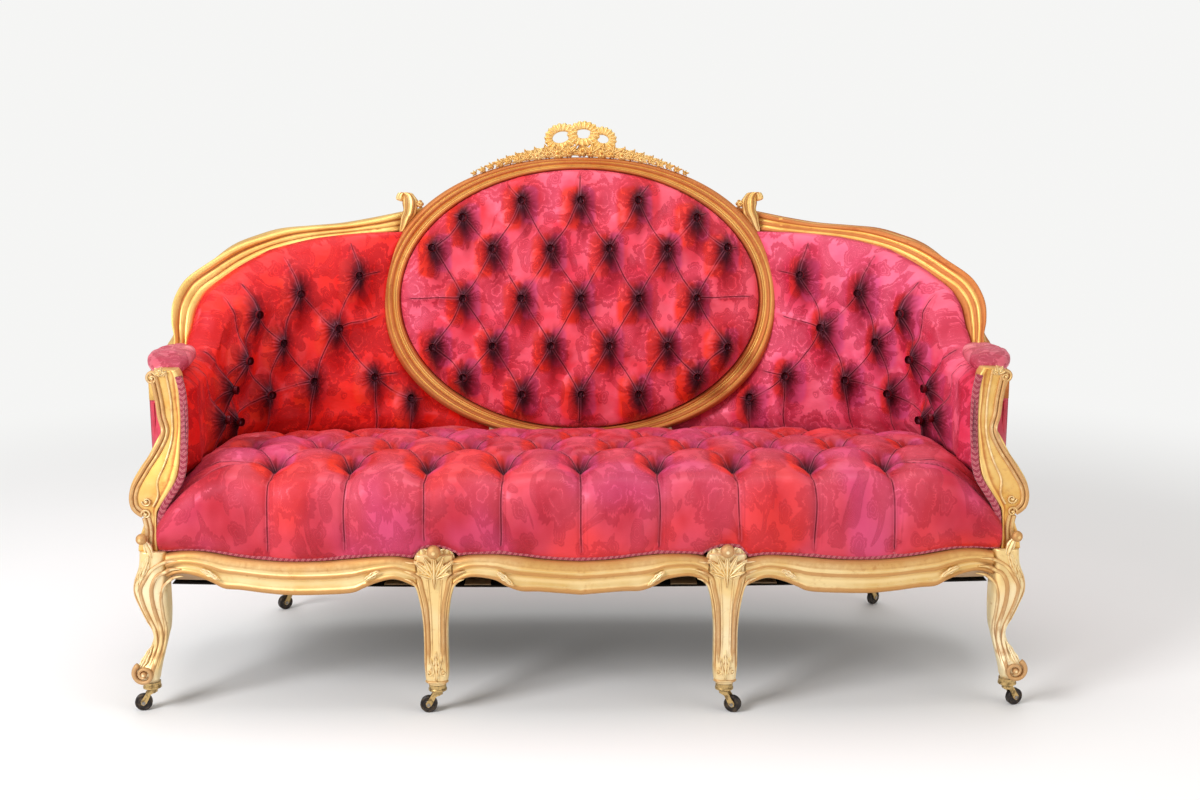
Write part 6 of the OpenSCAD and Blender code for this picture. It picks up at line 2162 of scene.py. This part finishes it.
@dataclass
class MiddleLeg:
    """A middle front leg: palmette, bands off both aprons, a long panel and an acanthus foot."""

    side: Side
    # Height share, and half width as a share of the shaft.
    SHARES: Table = (
        (0, 0.31), (0.035, 0.315), (0.05, 0.44), (0.12, 0.5), (0.25, 0.5), (0.46, 0.51), (0.6, 0.58),
        (0.68, 0.66), (0.745, 0.766), (0.76, 0.766), (0.9, 0.766), (1, 0.766))
    # Places on the apron from the block's edge, then places h, q on the leg, width and height.
    BANDS: ClassVar[Sequence[Tuple[Rows, Rows, float, float]]] = (
        (((22, 283), (8, 278)),
         ((0.76, 0.93), (0.66, 0.9), (0.56, 0.88), (0.44, 0.87), (0.3, 0.87), (0.18, 0.88), (0.08, 0.88)),
         6.0, 3.0),
        (((24, 300), (6, 294)),
         ((0.83, 0.8), (0.75, 0.66), (0.64, 0.6), (0.52, 0.6), (0.4, 0.6), (0.28, 0.6), (0.2, 0.62)),
         8.0, 4.2),
        (((20, 317), (5, 315)),
         ((0.94, 0.62), (0.86, 0.42), (0.76, 0.34), (0.62, 0.34), (0.48, 0.34), (0.34, 0.34), (0.26, 0.3)),
         4.5, 2.2))

    def make(self) -> Piece:
        """Builds the leg.

        Returns:
            The leg.
        """
        table = []
        for h, wide in self.SHARES:
            flare = max(wide - 0.51, 0) / 0.256
            power = 2.0 if h < 0.05 else mix(3.4, 9.0, flare)
            table.append([h, 0.0, SHAFT * wide, SHAFT * min(wide, 0.51), power])
        face = LegFace(MIDDLE_X, MIDDLE_Y, 0.0, table)
        work = Carving(self.side)
        work.add(face.net(), 4.0)
        for hand in Side:
            edge = MIDDLE_X + hand * BLOCK / 2
            for before, places, width, rise in self.BANDS:
                start, run = [[edge + hand * x, z] for x, z in before], [[h, hand * q] for h, q in places]
                face.bead(work, start, run, width, rise, 5, 0.3)
        self.palmette(work, face)
        self.foot(work, face)
        return work.piece("middle_carving_" + self.side.label, "middle_leg_" + self.side.label)

    @staticmethod
    def palmette(work: Carving, face: LegFace) -> None:
        """The fanned shell on the block.

        Args:
            work: the carving that is added to.
            face: the leg's face.
        """
        root = np.array([MIDDLE_X, face.at(0.8, 0.0)[0][1] - 1.5, 284.0])
        for turn, length, width in ((68, 38, 14), (45, 54, 17), (23, 52, 16)):
            for hand in Side:
                a = math.radians(hand * turn)
                tip = root + [length * math.sin(a), -4.0, length * math.cos(a)]
                work.leaf(root, tip, AHEAD, width, 6.0, 2, 3.5)
        for x in (-27, 0, 27):
            work.leaf(root + [x * 0.5, 14, 16], root + [x, 14, 66 - abs(x) * 0.2], AHEAD, 46.0, 2.4, 1)
        work.leaf(root + [0, -3, 44], root + [0, -2, -22], AHEAD, 17.0, 7.0, 1)
        work.boss(root + [0, -5, 55], AHEAD, 13.5, 11.0)

    @staticmethod
    def foot(work: Carving, face: LegFace) -> None:
        """The acanthus, the two small volutes and the rings at the foot.

        Args:
            work: the carving that is added to.
            face: the leg's face.
        """
        root, out = face.at(0.075, 0.0)
        for q, h, width in ((0.0, 0.3, 17.0), (-0.5, 0.255, 11.0), (0.5, 0.255, 11.0)):
            tip, _ = face.at(h, q)
            work.leaf(root, tip + out * 1.5, out, width, 4.6)
        for hand in Side:
            centre, lead = face.at(0.135, hand * 0.58)
            work.volute(centre, unit(lead * 0.4 + out), 8.5, 1.1, 90.0, float(hand))
        for h, rise in ((0.062, 2.6), (0.04, 1.6)):
            path, lead = face.line([], [[h, q] for q in np.linspace(-0.96, 0.96, 13)], 40)
            work.bead(path, lead, 5.0, rise)


@dataclass
class Crest:
    """The ribbon bow, the garland and the two ears on the medallion's frame."""

    size: float = 54.0
    ribbon: float = 17.0
    shift: float = 5.0
    ear_out: float = 37.8
    ear_down: float = 29.6
    ear_size: float = 74.0
    # Of each loop: place, half width and half height as shares of the size, and its turn in degrees.
    LOOPS: Table = (
        (0.07, 0.98, 0.68, 0.52, 0), (-0.88, 0.84, 0.7, 0.56, 15), (0.88, 0.76, 0.58, 0.5, -15))
    # Across the ribbon, and in front of its middle.
    RIBBON: Table = (
        (0, -1), (0.2, -1.06), (0.5, -1.08), (0.8, -1.06), (1, -1), (1.04, -0.3), (1.04, 0.3), (1, 1),
        (0.8, 1.1), (0.5, 1.22), (0.2, 1.1), (0, 1), (-0.04, 0.3), (-0.04, -0.3))
    # Place x, s and thickness along an ear, as shares of its size.
    EAR: Table = (
        (0.16, -0.34, 0.2), (0.07, -0.16, 0.5), (0, 0.04, 0.7), (-0.09, 0.22, 0.84), (-0.13, 0.42, 0.92),
        (-0.13, 0.62, 0.88), (-0.06, 0.8, 0.76), (0.07, 0.87, 0.62), (0.18, 0.79, 0.5), (0.2, 0.66, 0.36),
        (0.13, 0.6, 0.12))

    def __post_init__(self) -> None:
        """Takes the directions of the medallion's plane."""
        origin = OVAL.at(0, 0, 0)
        self.ahead, self.up = OVAL.at(0, 0, 1) - origin, OVAL.at(0, 1, 0) - origin

    def make(self) -> None:
        """Builds all three."""
        self.bow()
        self.garland()
        self.ears()

    def bow(self) -> None:
        """Three loops of pleated ribbon around a rosette."""
        work = Carving(gilt=CREST_GILT)
        a = np.linspace(0, math.tau, 144, endpoint=False)
        pleat = np.sin(a * 18)
        for x, s, wide, tall, turn in self.LOOPS:
            c, d = math.cos(math.radians(turn)), math.sin(math.radians(turn))
            rings = []
            for radial, depth in self.RIBBON:
                grow = (1 - radial) * self.ribbon - pleat * 1.1 * radial
                u, v = (self.size * wide - grow) * np.cos(a), (self.size * tall - grow) * np.sin(a)
                lift = 6.5 * depth + pleat * 2.6 * (0.5 + 0.5 * radial) * (1 if depth > 0 else 0.4)
                px = self.shift + self.size * x + u * c - v * d
                ps = OVAL.outer_h + self.size * s + u * d + v * c
                rings.append(OVAL.at(px, ps, 2 + lift))
            work.add(np.array(rings), 0.5, loop=True)
        foot = OVAL.at(self.shift, OVAL.outer_h, 2)
        for hand in Side:
            for reach, rise in ((30, 6), (26, 16)):
                tip = foot + np.array([hand * reach, 0, 0]) + self.up * rise
                work.leaf(foot + self.up * 12, tip, self.ahead, 14.0, 6.0, 3, 2.0)
        work.boss(foot + self.up * 13 + self.ahead * 2, self.ahead, 14.0, 9.0, 6)
        work.piece("bow_carving", "crest_bow")

    def garland(self) -> None:
        """Flowers and leaves along the top of the frame."""
        work = Carving(gilt=CREST_GILT)
        for side in Side:
            for i in range(-2, 9):
                size = 26 * (1 - 0.08 * max(i, 0))
                x, s = OVAL.outer(np.radians(90 - side * (8 + i * 2.75)), size * 0.34)
                here = OVAL.at(x, s, 8.0)
                odd = i % 2 == 1
                work.boss(here, self.ahead, size * (0.56 if odd else 0.42), size * 0.4, 5 if odd else 6)
                for turn, share in ((-62, 1.25), (48, 1.0), (-12, 0.92), (-112, 0.9)):
                    length = size * share
                    b = math.radians(90 - side * (5 + i * 2.6) + side * turn)
                    tip = OVAL.at(x + length * math.cos(b), s + length * math.sin(b), 9.0)
                    work.leaf(here, tip, self.ahead, length * 0.52, 4.6, 2, 1.5)
        work.piece("garland_carving", "crest_garland")

    def ears(self) -> None:
        """The acanthus scrolls that curl outwards beside the medallion."""
        work = Carving(gilt=CREST_GILT)
        x0, s0 = OVAL.outer(np.radians(38.5)) + [self.ear_out, -self.ear_down]
        a = np.linspace(0, math.tau, 48, endpoint=False)
        for side in Side:
            work.side = side
            rings = []
            for k, (x, s, wide) in enumerate(curve(self.EAR, np.linspace(0, 1, 70))):
                lobes = (1 + 0.12 * np.cos(6 * a)) * (1 + 0.1 * math.sin(k / 69 * 30) * np.cos(a) ** 2)
                r = 17.0 * wide * lobes
                px = x0 + self.ear_size * x + r * np.cos(a)
                rings.append(OVAL.at(px, s0 + self.ear_size * s, 0.8 * r * np.sin(a)))
            work.add(np.array(rings))
            work.boss(OVAL.at(x0 - 31, s0 + 38.5, 2), self.ahead, 9.5, 8.0, 5)
        work.piece("ear_carving", "ear_scrolls")


@dataclass
class Buttons:
    """The covered buttons of one cushion, seated in their tufts."""

    name: str
    seats: Sequence[Tuple[Vector, Vector]]
    node: str
    turns: int = 20
    # Radius and height in mm, from the shank up.
    PROFILE: Table = (
        (9.0, -6.0), (9.4, -1.0), (8.9, 1.6), (7.4, 3.6), (5.0, 5.0), (2.4, 5.7), (0.01, 5.9))

    def make(self) -> Piece:
        """Builds them as one piece.

        Returns:
            The joined piece.
        """
        angle = np.linspace(0, math.tau, self.turns, endpoint=False)
        gather = 1 + 0.03 * np.sin(angle * 9)
        x, y = np.cos(angle) * gather, np.sin(angle) * gather
        net = np.array([np.stack([r * x, r * y, 0 * angle + h], -1) for r, h in self.PROFILE])
        parts = []
        for place, out in self.seats:
            turn = np.array(out.to_track_quat("Z", "Y").to_matrix())
            parts.append(skin("button", net @ turn.T + np.array(place) / MM, wrap=True, **plain(net)))
        return dress(joined(parts, self.name), BUTTON_SILK_PAINTED_SHADE, "silk", self.node)


def braid(name: str, net: Array, foot: Array, across: Sequence[float], *nodes: str) -> Piece:
    """A length of gimp.

    Args:
        name: Its name.
        net: Its points, with shape (along, across, 3).
        foot: The line along which its pattern runs.
        across: Cloth coordinate of each column in mm.
        *nodes: The nodes that it stands for.

    Returns:
        The piece.
    """
    u = np.repeat(run_of(foot)[:, None], len(across), 1)
    w = np.repeat(np.array(across)[None, :], len(net), 0)
    return dress(skin(name, net, cloth=(u, w), ends=True), GIMP, "gimp", *nodes)


@dataclass
class SeatGimp:
    """The chevron gimp along the seat's lower edge."""

    end: float = 824.0
    # In front of the cover, and above the edge, in mm.
    PROFILE: Table = (
        (0.0, 0), (-2.6, 0.4), (-3.4, 2.0), (-2.8, 4.2), (-3.2, 7.0), (-2.8, 9.8), (-3.4, 12.0), (-2.6, 13.6),
        (0.0, 14.0))

    def make(self) -> Piece:
        """Builds the braid.

        Returns:
            The braid.
        """
        x = np.linspace(-self.end, self.end, 420)
        y, z = PLAN.front(x) + 11.7, edge_over(x, 10.0)
        net = np.stack([np.stack([x, y + d, z + h], -1) for d, h in self.PROFILE], 1)
        return braid("gimp_edge", net, net[:, 0], [h for _, h in self.PROFILE], "gimp_braid")


@dataclass
class ArmGimp:
    """The gimp beside one arm support."""

    side: Side
    # Places x, z along it.
    PATH: Table = (
        (786, 668), (779, 636), (776, 584), (776, 530), (779, 478), (799, 441), (812, 420), (819, 396),
        (820, 346))
    # Offset across it, and height in mm.
    PROFILE: Table = (
        (-7, -4), (-6.6, 0.6), (-4.5, 1.6), (-2, 1.1), (0, 1.6), (2, 1.1), (4.5, 1.6), (6.6, 0.6), (7, -4))

    def make(self) -> Piece:
        """Builds the braid.

        Returns:
            The braid.
        """
        path = ArmSupport.path(self.PATH, 120, 3.0)
        across = unit(np.cross(np.gradient(path, axis=0), AHEAD))
        net = np.stack([path + across * o + AHEAD * rise for o, rise in self.PROFILE], 1)
        net[..., 0] *= self.side
        return braid("gimp_arm_" + self.side.label, net, path, [o + 7.0 for o, _ in self.PROFILE])


@dataclass
class Studio:
    """Camera, lamps, floor and world."""

    lens: float = 48.0
    eye: Tuple[float, float, float] = (0.0, -3.3746, 1.2269)
    tilt: float = -11.143
    pan: float = -0.716
    backdrop: Colour = (0.915, 0.915, 0.905)
    # Name, place, aim, size, power and colour.
    LAMPS: ClassVar = (
        ("key", (-3.2, -3.0, 2.9), (0.0, -0.1, 0.6), 1.9, 178.0, (1.0, 0.985, 0.98)),
        ("fill", (3.4, -2.6, 1.8), (0.0, 0.0, 0.6), 2.6, 42.0, (1.0, 0.93, 0.86)),
        ("top", (0.0, 0.4, 3.8), (0.0, 0.0, 0.5), 3.0, 60.0, (1.0, 0.98, 0.96)))

    def make(self) -> None:
        """Sets up the scene."""
        scene = bpy.context.scene
        scene.view_settings.view_transform = "Standard"
        camera = bpy.data.cameras.new("camera")
        camera.lens, camera.sensor_width, camera.clip_end = self.lens, 36.0, 60.0
        eye = bpy.data.objects.new("camera", camera)
        eye.location = self.eye
        eye.rotation_euler = (math.radians(90 + self.tilt), 0.0, math.radians(self.pan))
        scene.collection.objects.link(eye)
        scene.camera = eye
        for name, at, to, size, power, colour in self.LAMPS:
            data = bpy.data.lights.new(name, "AREA")
            data.size, data.energy, data.color = size, power, colour
            lamp = bpy.data.objects.new(name, data)
            lamp.location = at
            lamp.rotation_euler = (Vector(to) - Vector(at)).to_track_quat("-Z", "Y").to_euler()
            scene.collection.objects.link(lamp)
        self.floor()
        self.world()

    def floor(self) -> None:
        """A plain pale floor that fades into the background far away."""
        bpy.ops.mesh.primitive_plane_add(size=40.0)
        obj = bpy.context.object
        obj.name = "floor"
        graph = Graph("floor")
        at = graph.coords()
        cloud = graph.noise(at, 1.5, 2.0)
        graph.set(Base_Color=graph.mix(cloud, (0.89, 0.905, 0.925), (0.91, 0.925, 0.945)), Roughness=0.9)
        glow = graph.node("Emission", in0=self.backdrop)
        far = graph.smooth(graph.vector("LENGTH", at, output=1), 1.5, 3.4)
        rays = (graph.node("LightPath", output=f"Is {kind} Ray") for kind in ("Camera", "Glossy"))
        seen = graph.math("MAXIMUM", *rays)
        lit = Sock(graph, graph.shader.outputs[0])
        graph.feed(graph.out.inputs["Surface"], graph.node("MixShader", in0=far * seen, in1=lit, in2=glow))
        obj.data.materials.append(graph.material)

    def world(self) -> None:
        """Soft light from all round, and a pale background."""
        world = bpy.data.worlds.new("world")
        bpy.context.scene.world = world
        world.use_nodes = True
        tree = world.node_tree
        tree.nodes.clear()
        kinds = ("OutputWorld", "LightPath", "MixShader")
        out, path, both = (tree.nodes.new("ShaderNode" + kind) for kind in kinds)
        tree.links.new(path.outputs["Is Camera Ray"], both.inputs[0])
        for slot, colour, strength in ((1, (1.0, 0.97, 0.93), 0.46), (2, self.backdrop, 1.0)):
            shade = tree.nodes.new("ShaderNodeBackground")
            shade.inputs[0].default_value = (*colour, 1.0)
            shade.inputs[1].default_value = strength
            tree.links.new(shade.outputs[0], both.inputs[slot])
        tree.links.new(both.outputs[0], out.inputs["Surface"])


def main() -> None:
    """Builds the scene."""
    logging.basicConfig(level=logging.INFO, format="%(message)s")
    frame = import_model()
    finish_nodes(frame["nodes"])
    Studio().make()
    seat = Seat().make()
    seat.build(True, "seat_cushion", 0.95)
    Buttons("seat_button_caps", seat.seats(), "seat_buttons").make()
    back = OvalSeatback().make()
    back.build(False, "oval_cushion", 0.9)
    Buttons("oval_button_caps", back.seats(), "oval_buttons").make()
    caps = []
    for side in Side:
        wing = Wing(side).make()
        wing.build(True, "wing_cushion_" + side.label, 0.9)
        caps += wing.seats()
        for kind in (WingRail, ArmSupport, ArmPad, EndPanel, ArmGimp, CornerLeg, MiddleLeg):
            kind(side).make()
    Buttons("wing_button_caps", caps, "wing_buttons").make()
    for kind in (OvalFrame, Aprons, Crest, SeatGimp):
        kind().make()


if __name__ == "__main__":
    main()
